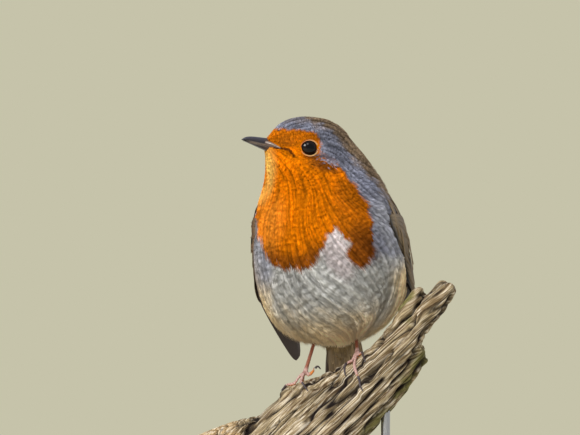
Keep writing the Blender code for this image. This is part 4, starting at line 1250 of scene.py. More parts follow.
def makeWing(side, name):
    # rows of feathers over a thin core that closes the gaps between them
    def surface(s, c, layer):
        return onWing(side, s, c, layer)

    ringSize, rings = wingCore["ringSize"], wingCore["rings"]
    angles = np.linspace(0, 2 * math.pi, ringSize, endpoint=False)
    s = np.linspace(0.005, 0.985, rings)[:, None]
    cross = np.cos(angles)[None] * wingCore["width"]
    layer = np.where(np.sin(angles) > 0, wingCore["outer"], wingCore["inner"])[None]
    core = surface(s * np.ones((1, ringSize)), cross * np.ones((rings, 1)), layer * np.ones((rings, 1)))
    ends = np.stack([surface(0.0, 0.0, 0.4), surface(0.992, 0.0, 0.4)])
    spots = np.concatenate([core.reshape(-1, 3), ends])
    across = np.concatenate([np.tile(0.25 + 0.2 * np.cos(angles * 7), rings), (0.3, 0.3)])
    along = np.concatenate([np.repeat(s[:, 0], ringSize), (0, 1)])
    vanes = [((spots, facesOfTube(rings, ringSize), across, along * 0.9), wingCore["tone"], 0.0)]
    for kind, count, baseA, baseB, tipA, tipB, half, layers, blunt, plain in wingRowsOfFeathers:
        for i in range(count):
            t = i / (count - 1)
            base = tuple(mixed(a, b, t) + dice.normal(0, 0.004) for a, b in zip(baseA, baseB))
            tip = tuple(mixed(a, b, t) + dice.normal(0, 0.005) for a, b in zip(tipA, tipB))
            own = vane(surface, base, (min(tip[0], 0.998), tip[1]), half * dice.uniform(0.92, 1.08),
                       mixed(*layers, t if kind != "primary" else 1 - t), blunt)
            own[2][:] = own[2] if side > 0 else 1 - own[2]
            edgeTone = -0.16 if kind in ("alula", "primaryCovert") else 0.0
            vanes.append((own, edgeTone + dice.normal(0.08, 0.15), plain))
    piece = joinVanes("wing" + name, vanes, vaneFinish)
    finished(piece, "flight_feathers", "wing_" + name.lower())


tailPairs = 6
tailCoverts = ((0.34, 7), (0.26, 6), (0.18, 5))  # reach and count of each row, above and below
tailLoose = ((0.64, 9), (0.52, 9), (0.40, 8), (0.28, 7))  # the same for the loose feathers under it


def makeTail():
    vanes = []
    for i in range(tailPairs):
        share = i / (tailPairs - 1)
        for side in (1, -1):
            c = side * (0.10 + 0.80 * share)
            layer = 0.93 - 0.78 * share - (0.05 if side < 0 else 0)
            own = vane(onTail, (0.0, c * 0.5), (0.998 - 0.012 * abs(2 - i), c * 0.86), 2.0, layer, 6.0)
            if side < 0:
                own[2][:] = 1 - own[2]
            vanes.append((own, dice.normal(0, 0.03), 0.1))
    for row, (reach, count) in enumerate(tailCoverts):
        for i in range(count):
            c = -0.75 + 1.5 * i / (count - 1)
            for upper in (True, False):
                own = vane(onTail, (0.0, c * 0.7), (reach - 0.03 * abs(c), c * 0.9), 1.7,
                           (0.98 + 0.03 * row) if upper else (0.02 - 0.03 * row), 2.5)
                vanes.append((own, dice.normal(0, 0.04), 1.0))
    for row, (reach, count) in enumerate(tailLoose):
        for i in range(count):
            c = 0.42 - (1.30 + 0.17 * row) * i / (count - 1) + dice.normal(0, 0.05)
            own = vane(onTail, (0.0, c * 0.9), (reach + dice.normal(0, 0.035), c), 1.7, -0.25 - 0.22 * row, 2.2)
            vanes.append((own, 0.65 + dice.normal(0, 0.28), 1.0))
    piece = joinVanes("tailFeathers", vanes, vaneFinish)
    finished(piece, "flight_feathers", "tail")


shell = {"low": 96.0, "high": 153.0, "rise": 1.5, "turn": 5.0, "reach": 60.0}
mantleRows = (  # side, height of base and tip, angle from the front to the first and last column, columns
    (1, 147, 134, 1.22, 3.05, 9), (1, 144, 130, 1.06, 3.05, 10), (1, 140, 125, 0.98, 3.05, 10),
    (1, 137, 120, 0.99, 3.0, 10), (1, 134, 115, 1.04, 2.9, 9), (-1, 146, 133, 1.62, 3.1, 8),
    (-1, 142, 129, 1.62, 3.1, 8), (-1, 138, 124, 1.66, 3.0, 8), (-1, 134, 119, 1.7, 2.9, 7),
)
mantleSizes = {"halfWidth": 1.9, "layer": 0.60, "layerStep": 0.07, "sunkBase": 2.4, "bluntness": 2.2, "opening": 1.5}


def makeShell():
    # how far the body with its folded wings reaches from its own axis, up it and round it
    heights = np.arange(shell["low"], shell["high"], shell["rise"])
    turns = np.radians(np.arange(-180, 181, shell["turn"]))
    trees = [BVHTree.FromBMesh(mergedCopy(name)) for name in ("trunk", "neck", "head", "wing_left", "wing_right")]
    reach = np.zeros((len(heights), len(turns)))
    for i, z in enumerate(heights):
        middle = np.array([np.interp(z, slices, bodySlices[:, 0]), np.interp(z, slices, bodySlices[:, 1]), z])
        for k, turn in enumerate(turns):
            out = np.array((math.sin(turn), -math.cos(turn), 0))
            for tree in trees:
                hit = tree.ray_cast(Vector((middle + out * shell["reach"]) * mm), Vector(-out))
                if hit[0] is not None:
                    reach[i, k] = max(reach[i, k], shell["reach"] - hit[3] / mm)
    for _ in range(2):  # hollows filled towards the mean of the nine cells round each
        padded = np.pad(reach, 1, mode="edge")
        rows, columns = reach.shape
        parts = [padded[i:i + rows, k:k + columns] for i in range(3) for k in range(3)]
        reach = np.maximum(reach, np.mean(parts, axis=0))
    return reach


shellReach = makeShell()


def onMantle(side, s, c, layer):
    # a place over the shoulder and back: s from the top of the shell to its foot, c the angle from the front
    s, c, layer = np.broadcast_arrays(*(np.asarray(part, dtype=float) for part in (s, c, layer)))
    z = mixed(shell["high"] - shell["rise"], shell["low"], s)
    at = np.stack([(z - shell["low"]) / shell["rise"], (np.degrees(c * side) + 180) / shell["turn"]], axis=-1)
    reach = 0
    for cells, share in cornersOf(at.reshape(-1, 2)):
        reach = reach + shellReach[tuple(np.clip(cells, 0, np.array(shellReach.shape) - 1).T)] * share
    reach = reach.reshape(s.shape) - 0.25 + layer
    middle = [np.interp(z, slices, bodySlices[:, k]) for k in (0, 1)]
    return np.stack([middle[0] + np.sin(c) * side * reach, middle[1] - np.cos(c) * reach, z], axis=-1)


def makeMantle():
    # the larger feathers of the shoulders and back, which cover the wings' roots
    span = shell["high"] - shell["rise"] - shell["low"]
    for side, name in ((1, "Left"), (-1, "Right")):
        vanes = []
        for row, (ownSide, top, bottom, first, last, columns) in enumerate(mantleRows):
            if ownSide != side:
                continue
            for i in range(columns):
                turn = mixed(first, last, (i + 0.5 * (row % 2)) / (columns - 1)) + dice.normal(0, 0.03)
                base = (1 - (top - shell["low"]) / span, turn + 0.05)
                tip = (1 - (bottom + dice.normal(0, 0.8) - shell["low"]) / span, turn + 0.02)

                def overBack(s, c, layer):
                    sunk = mantleSizes["sunkBase"] * rise(0.62, 0.0, (s - base[0]) / (tip[0] - base[0]))
                    return onMantle(side, s, c, layer - sunk)

                own = vane(overBack, base, tip, mantleSizes["halfWidth"] * dice.uniform(0.85, 1.1),
                           mantleSizes["layer"] - mantleSizes["layerStep"] * (row % 5), mantleSizes["bluntness"],
                           mantleSizes["opening"])
                vanes.append((own, dice.normal(0.08, 0.16), dice.uniform(0.35, 1.0)))
        piece = joinVanes("mantle" + name, vanes, vaneFinish)
        finished(piece, "plumage")


makeMantle()
makeWing(1, "Left")
makeWing(-1, "Right")
makeTail()
print("wings and tail: feathered")


# the bill

billShape = {
    "tip": 26.6, "tipUp": 0.64, "root": 12.0, "parting": 0.06, "rings": 44, "ringHalf": 17,
    "nostril": (16.9, 1.6), "nostrilSlope": 0.5, "nostrilDepth": 0.4, "gapeSteps": 16, "gapeSides": 14,
}


def billLines(d):
    # culmen, gape, lower edge and half width, d from the tip
    tip = billShape["tipUp"]
    culmen = tip + 1.9 * (1 - np.exp(-d / 1.5))
    gape = tip - 0.95 * np.sin(math.pi / 2 * np.minimum(d / 9, 1)) ** 1.5
    lower = tip - 0.28 * np.minimum(d, 9.8)
    half = 2.3 * np.sin(math.pi / 2 * np.minimum(d / 14, 1)) ** 0.8
    return culmen, gape, lower, half


def hornMaterial():
    # dark horn with a painted bluish sheen along its top, browner at its base and paler at its edges
    finish, tree, shader = newMaterial("billHorn", Roughness=0.32, Coat_Weight=0.25, Coat_Roughness=0.25)
    up, back, edge, _ = marksOf(tree, "horn")
    here = place(tree, "ShaderNodeTexCoord").outputs["Object"]
    streak = noisy(tree, here, 900.0, Detail=4.0)
    # painted sheen: the top of the horn bluish grey
    colour = blended(tree, up, paint(26, 20, 21), paint(74, 72, 84))
    colour = blended(tree, counted(tree, "MULTIPLY", back, 0.75), colour, paint(92, 66, 52))
    colour = blended(tree, counted(tree, "MULTIPLY", edge, 0.7), colour, paint(158, 138, 120))
    shade = counted(tree, "ADD", counted(tree, "MULTIPLY", streak, 0.5), 0.75)
    tree.links.new(lit(tree, colour, shade), shader.inputs["Base Color"])
    bumped(tree, shader, streak, 0.2, 0.0001)
    return finish


def makeBill():
    finish = hornMaterial()
    rings, half = billShape["rings"], billShape["ringHalf"]
    for upper, node, name in ((True, "bill_upper", "billUpper"), (False, "bill_lower", "billLower")):
        short = 0.2 if upper else 0.75
        d = short + (billShape["tip"] - billShape["root"] - short) * np.linspace(0, 1, rings) ** 1.4
        culmen, gape, lower, width = billLines(d)
        depth = np.maximum((culmen - gape if upper else gape - lower) - 0.1, 0.2)
        angles = np.linspace(0, math.pi, half)
        across = width[:, None] * np.cos(angles)[None]
        lift = depth[:, None] * np.sin(angles)[None] ** 0.8
        under = np.linspace(-1, 1, half)[1:-1]
        hollow = -np.minimum(0.5 * depth, 0.35)[:, None] * (under[None] ** 2 - 1) * 0.6
        y = np.concatenate([across, width[:, None] * under[None]], axis=1)
        h = np.concatenate([lift, hollow], axis=1)
        x = np.repeat((billShape["tip"] - d)[:, None], y.shape[1], axis=1)
        # painted bluish sheen along the top half of each ring
        topSheen = np.concatenate([np.tile(np.sin(angles) ** 1.5, (rings, 1)), np.zeros((rings, half - 2))], axis=1)
        if upper:
            far, high = billShape["nostril"]
            rising = billShape["nostrilSlope"] * (x - far)
            near = np.exp(-(((x - far) / 1.1) ** 2 + ((h + gape[:, None] - high - rising) / 0.33) ** 2))
            pit = near * (np.abs(y) > 0.8) * billShape["nostrilDepth"]
            y = y - np.sign(y) * pit
            topSheen = topSheen * (1 - 0.8 * near)
        z = gape[:, None] + (billShape["parting"] + h) * (1 if upper else -1)
        spots = fromHead(np.stack([x, y, z], axis=-1).reshape(-1, 3))
        ends = fromHead([(billShape["tip"] - d[0] + 0.1, 0, gape[0] + (0.1 if upper else -0.1)),
                         (billShape["root"], 0, gape[-1] + (1.0 if upper else -0.6))])
        ringSize = y.shape[1]
        piece = meshPiece(name, np.concatenate([spots, ends]), facesOfTube(rings, ringSize), finish)
        lip = np.exp(-(h / 0.22) ** 2) * rise(1.5, 4.0, d)[:, None]
        marks = np.stack([topSheen * (0.9 if upper else 0.25), np.repeat(rise(7.5, 11.5, d)[:, None], ringSize, 1),
                          lip * (1.0 if upper else 0.8), np.ones_like(y)], axis=-1).reshape(-1, 4)
        layMarks(piece.data, "horn", np.concatenate([marks, [(0.3, 0, 0, 1), (0.2, 1, 0, 1)]]))
        turnOutwards(piece)
        finished(piece, "bill", node)
    makeGape(finish)


def makeGape(finish):
    # the horn's edge that runs from the bill back over each cheek
    steps, sides = billShape["gapeSteps"], billShape["gapeSides"]
    rows = alongRows(gapePath, np.linspace(0, 1, steps))
    angles = np.linspace(0, 2 * math.pi, sides, endpoint=False)
    for side, name in ((1, "Left"), (-1, "Right")):
        centre = rows[:, :3] * (1, side, 1)
        way = unit(np.gradient(centre, axis=0))
        out = unit(np.cross(way, (0, 0, 1.0)) * -side)
        up = unit(np.cross(out, way) * side)
        high, thick = rows[:, 3:4], np.minimum(rows[:, 3:4], 0.42)
        ring = (centre[:, None] + up[:, None] * (high * np.sin(angles))[..., None]
                + out[:, None] * (thick * np.cos(angles))[..., None])
        spots = np.concatenate([ring.reshape(-1, 3), centre[:1], centre[-1:] + way[-1:] * 0.15])
        piece = meshPiece("gape" + name, fromHead(spots), facesOfTube(steps, sides), finish)
        across = np.tile(np.sin(angles), steps)
        along = np.repeat(np.linspace(0, 1, steps), sides)
        # the first share is the painted sheen along the horn's top
        marks = np.stack([np.maximum(across, 0) * 0.35, 0.6 + 0.3 * along,
                          np.clip(0.5 * rise(0.1, -0.5, across) + 0.3 * along, 0, 1), np.ones_like(across)], axis=1)
        layMarks(piece.data, "horn", np.concatenate([marks, [(0.2, 0.4, 0.3, 1), (0.2, 0.8, 0.6, 1)]]))
        turnOutwards(piece)
        finished(piece, "bill")


makeBill()
print("bill: made")


# legs, feet and claws

legSizes = {
    "voxel": 0.16, "overlap": 0.22, "scute": 1.05, "scuteDepth": 0.06, "pad": 0.55, "slim": 0.16, "slimToe": 0.12,
    "clawVoxel": 0.11, "clawOverlap": 0.2, "clawSlim": 0.1,
}
shanks = {  # heel and ankle
    "left": ((8.2, 7.0, 96.5), (9.0, -8.6, 84.0)), "right": ((-3.6, 8.0, 96.5), (-9.7, -1.0, 76.6)),
}


def legMaterials():
    # scaly skin with orange soles, and the claws' horn
    finish, tree, shader = newMaterial("legSkin", Roughness=0.45)
    seam, sole, knuckle, _ = marksOf(tree, "scale")
    here = place(tree, "ShaderNodeTexCoord").outputs["Object"]
    mottle = noisy(tree, here, 700.0, Detail=5.0)
    colour = blended(tree, mottle, paint(124, 62, 42), paint(168, 106, 80))
    colour = blended(tree, knuckle, colour, paint(204, 168, 160))
    colour = blended(tree, counted(tree, "MULTIPLY", sole, 0.9), colour, paint(226, 132, 30))
    colour = blended(tree, counted(tree, "MULTIPLY", seam, 0.55), colour, paint(110, 52, 34))
    tree.links.new(colour, shader.inputs["Base Color"])
    cells = place(tree, "ShaderNodeTexVoronoi", {"Vector": here, "Scale": 1500.0}).outputs["Distance"]
    bumped(tree, shader, cells, 0.25, 0.00015)
    claw, clawTree, clawShader = newMaterial("clawHorn", Roughness=0.3)
    here = place(clawTree, "ShaderNodeTexCoord").outputs["Object"]
    mottle = noisy(clawTree, here, 600.0)
    colour = blended(clawTree, mottle, paint(50, 42, 44), paint(98, 88, 92))
    clawTree.links.new(colour, clawShader.inputs["Base Color"])
    return finish, claw


def makeLegs():
    finish, claw = legMaterials()
    for side, (heel, ankle) in shanks.items():
        grow = legSizes["overlap"]
        names = [f"claw_{side}_{toe}" for toe in ("inner", "middle", "outer", "hind")]
        shells = [mergedCopy("leg_" + side, grow), mergedCopy("foot_" + side, grow)]
        toes = np.array([v.co[:] for v in shells[1].verts])
        for name in names:  # a round pad where each claw leaves its toe
            horn = np.array([v.co[:] for v in mergedCopy(name).verts])
            gaps = np.linalg.norm(horn[:, None] - toes[None], axis=2)
            nearHorn, nearToe = np.unravel_index(gaps.argmin(), gaps.shape)
            pad = bmesh.new()
            bmesh.ops.create_icosphere(pad, subdivisions=3, radius=legSizes["pad"] * mm)
            bmesh.ops.translate(pad, vec=Vector((horn[nearHorn] + toes[nearToe]) / 2), verts=pad.verts)
            shells.append(pad)
        leg = remeshed("leg" + side.capitalize(), shells, legSizes["voxel"])
        spots = relaxed(spotsOf(leg.data), edgesOf(leg.data), 3)
        putSpots(leg.data, spots)
        outward = normalsOf(leg.data)
        heel, ankle = np.array(heel), np.array(ankle)
        length = np.linalg.norm(ankle - heel)
        along = (spots - heel) @ ((ankle - heel) / length)
        onShank = rise(length - 1.0, length - 3.0, along)
        flatGap = np.where(onShank > 0.5, along, np.linalg.norm(spots - ankle, axis=1) + 0.3)
        phase = flatGap / legSizes["scute"] * 2 * math.pi
        seam = np.exp(-((np.mod(phase, 2 * math.pi) - math.pi) / 0.55) ** 2)
        front = rise(0.3, -0.5, outward[:, 1])
        spots = spots - outward * (grow * 0.8 + mixed(legSizes["slimToe"], legSizes["slim"], onShank)
                                    + legSizes["scuteDepth"] * seam * mixed(1.0, front, onShank))[:, None]
        putSpots(leg.data, spots)
        under = rise(-0.2, -0.8, outward[:, 2]) * (1 - onShank)
        if side == "right":
            raised = rise(-8.4, -7.4, spots[:, 0]) * (1 - onShank)
            under = np.maximum(under, raised * rise(0.5, -0.3, outward[:, 1]))
        pink = (1 - onShank) * 0.85
        seamMark = seam * mixed(1.0, 0.8, onShank)
        layMarks(leg.data, "scale", np.stack([seamMark, under, pink, np.ones_like(pink)], axis=1))
        leg.data.materials.append(finish)
        finished(leg, "leg_skin", "leg_" + side, "foot_" + side)
        horns = [mergedCopy(name, legSizes["clawOverlap"]) for name in names]
        claws = remeshed("claws" + side.capitalize(), horns, legSizes["clawVoxel"])
        spots = relaxed(spotsOf(claws.data), edgesOf(claws.data), 3)
        putSpots(claws.data, spots)
        putSpots(claws.data, spots - normalsOf(claws.data) * legSizes["clawSlim"])
        claws.data.materials.append(claw)
        finished(claws, "claw", *names)


makeLegs()
print("legs: made")


# the perch

woodSizes = {
    "voxel": 0.46, "plate": 1.4, "crack": 0.85, "ridge": 0.22, "swell": 0.25, "spike": 1.2,
    "grip": 0.5, "gripFrom": 1.3, "gripTo": 3.2,
}
woodAlong = unit(np.array((0.70, -0.20, 0.69)))
woodAcross = unit(np.cross((0, 1.0, 0), woodAlong))
woodDeep = np.cross(woodAlong, woodAcross)
woodLooks = {
    "grey": paint(176, 156, 120), "brown": paint(122, 98, 66), "pale": paint(238, 224, 200), "umber": paint(84, 62, 52),
    "tan": paint(204, 172, 124), "crack": paint(28, 20, 18), "moss": paint(112, 110, 52),
}
woodSplits = (  # half width, depth and the line of each long split, across and up
    (0.75, 1.5, ((-31.3, 55.0), (-25.6, 63.3), (-16.7, 71.0))),
    (1.25, 2.2, ((-0.7, 55.0), (6.3, 62.7), (12.0, 68.4), (17.8, 74.2))),
    (0.40, 1.4, ((4.4, 55.0), (16.5, 67.8), (25.4, 77.3), (30.0, 84.0))),
    (0.60, 1.8, ((12.0, 82.5), (21.0, 93.0), (28.6, 99.0), (33.5, 107.0))),
    (0.40, 1.3, ((12.5, 76.0), (18.4, 81.2), (25.4, 90.7), (30.0, 97.0))),
    (0.55, 1.3, ((29.0, 84.5), (31.2, 88.8), (37.5, 99.0), (41.4, 105.4))),
    (0.55, 1.5, ((12.0, 57.0), (21.0, 67.1), (28.6, 74.2), (34.3, 83.7))),
    (0.40, 1.2, ((-13.5, 55.0), (-3.3, 65.9), (6.9, 76.1), (15.0, 85.0))),
    (0.40, 1.0, ((-23.7, 60.8), (-14.8, 67.9), (-5.9, 74.2), (3.0, 80.0))),
    (0.35, 1.0, ((-8.0, 55.0), (2.5, 66.0), (12.0, 74.5))),
    (0.45, 1.2, ((-36.0, 40.0), (-24.0, 52.0), (-19.0, 60.0))),
    (0.50, 1.2, ((-20.0, 45.0), (-8.0, 55.0))),
    (0.40, 1.2, ((2.0, 45.0), (14.0, 57.0))),
)


def gapToFeet(spots):
    # distance from the nearest toe or claw
    names = [name for name in sorted(nodes) if name.startswith(("foot_", "claw_"))]
    feet = np.concatenate([spotsOf(nodes[name].data) for name in names])
    tree = kdtree.KDTree(len(feet))
    for k, spot in enumerate(feet):
        tree.insert(Vector(spot), k)
    tree.balance()
    return np.array([tree.find(Vector(spot))[2] for spot in spots])


def woodMaterial():
    # grey weathered grain over brown, with pale worn fibres and painted highlights along the cracks' edges, dark cracks
    # with a painted shadow under the bird, and a little moss
    finish, tree, shader = newMaterial("weatheredWood", Roughness=0.88)
    shader.inputs["Specular IOR Level"].default_value = 0.2
    dark, pale, moss, tan = marksOf(tree, "wood")
    lie = place(tree, "ShaderNodeAttribute", attribute_name="grain").outputs["Vector"]
    long = place(tree, "ShaderNodeMapping", {"Vector": lie, "Scale": (0.026, 0.95, 0.4)}).outputs[0]
    fine = place(tree, "ShaderNodeMapping", {"Vector": lie, "Scale": (0.045, 2.3, 0.8)}).outputs[0]
    broad = noisy(tree, long, 1.0, Detail=5.0, Roughness=0.6)
    narrow = noisy(tree, fine, 1.0, Detail=3.0, Roughness=0.6)
    broadShare = ranged(tree, broad, 0.38, 0.58)
    colour = blended(tree, broadShare, woodLooks["brown"], woodLooks["grey"])
    colour = blended(tree, tan, colour, woodLooks["tan"])
    lines = ranged(tree, narrow, 0.50, 0.62)
    # the pale share: worn fibres, with painted highlights along the cracks' edges
    worn = ranged(tree, pale, 0.0, 1.0, 0.35, 0.95)
    colour = blended(tree, counted(tree, "MULTIPLY", worn, lines), colour, woodLooks["pale"])
    colour = blended(tree, counted(tree, "MULTIPLY", moss, 0.8), colour, woodLooks["moss"])
    hollows = ranged(tree, broad, 0.40, 0.30)
    colour = blended(tree, counted(tree, "MULTIPLY", hollows, 0.55), colour, woodLooks["umber"])
    seams = ranged(tree, narrow, 0.49, 0.39)
    colour = blended(tree, counted(tree, "MULTIPLY", seams, 0.52), colour, woodLooks["crack"])
    # the dark share: cracks, and the painted shadow under the bird
    colour = blended(tree, dark, colour, woodLooks["crack"])
    tree.links.new(colour, shader.inputs["Base Color"])
    bumped(tree, shader, narrow, 0.9, 0.0009)
    return finish


def makePerch():
    perch = remeshed("perch", [mergedCopy("perch_branch")], woodSizes["voxel"])
    spots, outward = spotsOf(perch.data), normalsOf(perch.data)
    spots = relaxed(spots, edgesOf(perch.data), 2)
    a, b, c = spots @ woodAlong, spots @ woodAcross, spots @ woodDeep
    wander = grit(np.stack([a / 3.0, b, c], axis=1), 12.0, 2)
    grain = np.stack([a, b + wander * 0.6 - (a / 62) ** 2 * 1.2, c + wander * 0.6], axis=1)

    def along(longSize, acrossSize, seed):
        return speckle(grain / np.array((longSize, acrossSize, acrossSize * 2.4)), 1.0, seed + 4) * 1.7

    plate, crack, ridge, worn = along(150, 3.4, 0), along(85, 1.7, 1), along(45, 0.8, 2), along(70, 3.6, 3)
    plateGap = np.exp(-(plate / 0.08) ** 2)
    crackGap = np.exp(-(crack / 0.11) ** 2) * rise(-0.4, 0.1, grit(spots, 9.0, 3))
    splitGap, splitDepth = np.zeros(len(spots)), np.zeros(len(spots))
    ragged = along(9, 1.2, 1)
    for halfWidth, depth, line in woodSplits:
        near = nearLine(spots[:, 0] + ragged * 0.5, spots[:, 2] - ragged * 0.5, line)
        here = np.exp(-(near / halfWidth) ** 2) * rise(0.35, -0.15, outward[:, 1])
        splitGap, splitDepth = np.maximum(splitGap, here), np.maximum(splitDepth, here * depth)
    sink = splitDepth + woodSizes["plate"] * plateGap + woodSizes["crack"] * crackGap
    sink = sink - woodSizes["ridge"] * (ridge - 0.6) - woodSizes["swell"] * (worn - 0.4)
    sink = sink * mixed(1.0, 0.3, rise(31, 36, spots[:, 0]) * rise(91, 97, spots[:, 2]))
    grown = woodSizes["spike"] * rise(94, 100, spots[:, 2]) * rise(1.5, 0.4, splitDepth)
    # sound wood under the toes, so that they stand on it
    gripped = rise(woodSizes["gripTo"], woodSizes["gripFrom"], gapToFeet(spots))
    sink, grown = sink * (1 - gripped), grown + woodSizes["grip"] * gripped
    carved = spots + outward * (grown - np.maximum(sink, 0.0))[:, None]
    putSpots(perch.data, relaxed(carved, edgesOf(perch.data), 2))
    x, z = spots[:, 0], spots[:, 2]
    lowEdge = np.interp(a, (48, 71, 82), (-28.9, -32.3, -35.0)) - b  # above the lower right edge
    # painted highlights along the edges of the plates' gaps and of the cracks
    rim = np.exp(-((np.abs(plate) - 0.25) / 0.10) ** 2) + np.exp(-((np.abs(crack) - 0.32) / 0.10) ** 2)
    bleached = rise(1.3, 0.5, oval(x, z, (17.0, 74.5), 13.0, 5.5, 45))
    pale = np.clip(rise(-0.2, 0.5, worn + 0.4 * ridge) + 0.7 * rim + 0.45 * bleached, 0, 1)
    moss = rise(4.5, 1.0, lowEdge + 3 * grit(spots, 5.0, 1)) * rise(-0.5, 0.1, grit(spots, 3.0, 2))
    spike = rise(7.5, 3.0, np.hypot(x - 24.5, z - 101.5) + 3 * grit(spots, 3.0, 0))
    moss = np.maximum(moss, spike * rise(-0.1, 0.4, crack + 0.3))
    tan = rise(-33.0, -38.0, x + 3 * worn)
    # painted shadow under the bird, in the middle of the perch
    shaded = 0.15 * rise(16.0, 5.0, np.hypot(x + 4, z - 68)) * rise(-0.8, 0.8, worn)
    dark = np.clip(shaded + np.maximum(splitGap * 1.1, np.maximum(plateGap * 0.95, crackGap * 0.8)), 0, 1)
    layMarks(perch.data, "wood", np.stack([dark, pale, moss, tan], axis=1))
    layer = perch.data.attributes.new("grain", "FLOAT_VECTOR", "POINT")
    layer.data.foreach_set("vector", grain.astype(np.float32).ravel())
    perch.data.materials.append(woodMaterial())
    finished(perch, "weathered_wood", "perch_branch")
    print("perch:", len(perch.data.polygons), "faces")


makePerch()


# the display stand

standLooks = {
    "wood": paint(74, 50, 36), "woodLight": paint(112, 78, 52),
    "steel": paint(176, 176, 178), "steelLight": paint(206, 206, 206),
}
collarSizes = {"radius": 3.2, "height": 2.0, "bevel": 0.5, "vertices": 48}


def standMaterials():
    # varnished wood for the base and brushed steel for the rods
    finish, tree, shader = newMaterial("standWood", Roughness=0.4, Coat_Weight=0.3, Coat_Roughness=0.2)
    here = place(tree, "ShaderNodeTexCoord").outputs["Object"]
    long = place(tree, "ShaderNodeMapping", {"Vector": here, "Scale": (30.0, 600.0, 400.0)}).outputs[0]
    grain = noisy(tree, long, 1.0, Detail=6.0, Distortion=0.6)
    share = ranged(tree, grain, 0.35, 0.65)
    tree.links.new(blended(tree, share, standLooks["wood"], standLooks["woodLight"]), shader.inputs["Base Color"])
    bumped(tree, shader, grain, 0.15, 0.0003)
    steel, steelTree, steelShader = newMaterial("brushedSteel", Metallic=1.0)
    here = place(steelTree, "ShaderNodeTexCoord").outputs["Object"]
    long = place(steelTree, "ShaderNodeMapping", {"Vector": here, "Scale": (3000.0, 3000.0, 60.0)}).outputs[0]
    brushed = noisy(steelTree, long, 1.0, Detail=3.0)
    rough = ranged(steelTree, brushed, 0.0, 1.0, 0.22, 0.42)
    steelTree.links.new(rough, steelShader.inputs["Roughness"])
    colour = blended(steelTree, brushed, standLooks["steel"], standLooks["steelLight"])
    steelTree.links.new(colour, steelShader.inputs["Base Color"])
    return finish, steel


def makeStand():
    finish, steel = standMaterials()
    nodes["stand_base"].data.materials.clear()
    nodes["stand_base"].data.materials.append(finish)
    for name in ("stand_rod_low", "stand_rod_high"):
        nodes[name].data.materials.clear()
        nodes[name].data.materials.append(steel)
        low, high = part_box(name)
        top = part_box("stand_base")[1].z
        bpy.ops.object.select_all(action="DESELECT")
        centre = ((low.x + high.x) / 2, (low.y + high.y) / 2, top + collarSizes["height"] / 2 * mm)
        bpy.ops.mesh.primitive_cylinder_add(vertices=collarSizes["vertices"], radius=collarSizes["radius"] * mm,
                                            depth=collarSizes["height"] * mm, location=centre)
        collar = bpy.context.object
        collar.name = "standCollar" + name.split("_")[-1].capitalize()
        bpy.ops.object.mode_set(mode="EDIT")
        bpy.ops.mesh.select_all(action="DESELECT")
        bm = bmesh.from_edit_mesh(collar.data)
        for edge in bm.edges:
            edge.select = all(v.co.z > 0 for v in edge.verts)
        bmesh.update_edit_mesh(collar.data)
        bpy.ops.mesh.bevel(offset=collarSizes["bevel"] * mm, segments=3)
        bpy.ops.object.mode_set(mode="OBJECT")
        bpy.ops.object.transform_apply(location=True, rotation=True, scale=True)
        bpy.ops.object.shade_smooth_by_angle(angle=math.radians(35))
        collar.data.materials.append(steel)
        finished(collar, "stand_rod")


makeStand()
print("stand: finished")


# floor, light and camera

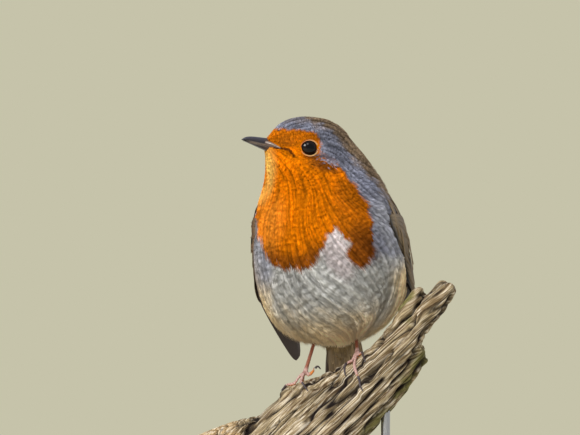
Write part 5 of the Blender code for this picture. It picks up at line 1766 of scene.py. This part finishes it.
studio = {
    "centreX": -15.0, "centreZ": 132.3, "distance": 3000.0, "lens": 521.0, "floorRadius": 1.9,
    "paper": paint(198, 195, 170), "sky": 0.42, "skyTint": (0.93, 0.97, 1.06, 1), "aim": (0, 0, 0.12),
}
lamps = {  # place in metres, size, power, colour
    "key": ((-1.15, -1.25, 1.25), 0.8, 27.0, (1.0, 0.97, 0.92)),
    "front": ((-0.1, -1.8, 0.3), 0.9, 10.0, (1.0, 0.98, 0.95)),
    "top": ((-0.1, -1.25, 1.75), 0.7, 7.0, (0.90, 0.95, 1.0)),
    "rim": ((1.3, 0.9, 0.9), 0.7, 7.0, (1.0, 0.96, 0.88)),
}


def makeStudio():
    scene = bpy.context.scene
    camera = bpy.data.cameras.new("camera")
    camera.lens, camera.sensor_width = studio["lens"], 36
    camera.clip_start, camera.clip_end = 0.05, 40
    holder = bpy.data.objects.new("camera", camera)
    scene.collection.objects.link(holder)
    holder.location = Vector((studio["centreX"], -studio["distance"], studio["centreZ"])) * mm
    holder.rotation_euler = (math.pi / 2, 0, 0)
    scene.camera = holder
    world = bpy.data.worlds.new("room")
    scene.world = world
    world.use_nodes = True
    tree = world.node_tree
    sky = tree.nodes["Background"]
    sky.inputs["Color"].default_value = studio["skyTint"]
    sky.inputs["Strength"].default_value = studio["sky"]
    wall = place(tree, "ShaderNodeBackground", {"Color": studio["paper"]})
    seen = place(tree, "ShaderNodeLightPath").outputs["Is Camera Ray"]
    both = place(tree, "ShaderNodeMixShader", {0: seen, 1: sky.outputs[0], 2: wall.outputs[0]})
    tree.links.new(both.outputs[0], tree.nodes["World Output"].inputs["Surface"])
    bpy.ops.object.select_all(action="DESELECT")
    bpy.ops.mesh.primitive_circle_add(vertices=96, radius=studio["floorRadius"], fill_type="NGON")
    floor = bpy.context.object
    floor.name = "floor"
    paper, tree, shader = newMaterial("floorPaper", Roughness=0.9)
    here = place(tree, "ShaderNodeTexCoord").outputs["Object"]
    grain = noisy(tree, here, 40.0, Detail=3.0)
    tree.links.new(blended(tree, grain, paint(214, 212, 196), paint(222, 220, 206)), shader.inputs["Base Color"])
    floor.data.materials.append(paper)
    for name, (spot, size, power, tint) in lamps.items():
        light = bpy.data.lights.new(name, "AREA")
        light.shape, light.size, light.energy, light.color = "DISK", size, power, tint
        lamp = bpy.data.objects.new(name, light)
        lamp.location = spot
        lamp.visible_glossy = name != "front"  # the eyes mirror only the lights above them
        lamp.rotation_euler = (Vector(studio["aim"]) - Vector(spot)).to_track_quat("-Z", "Y").to_euler()
        scene.collection.objects.link(lamp)


makeStudio()
print("studio: lit")
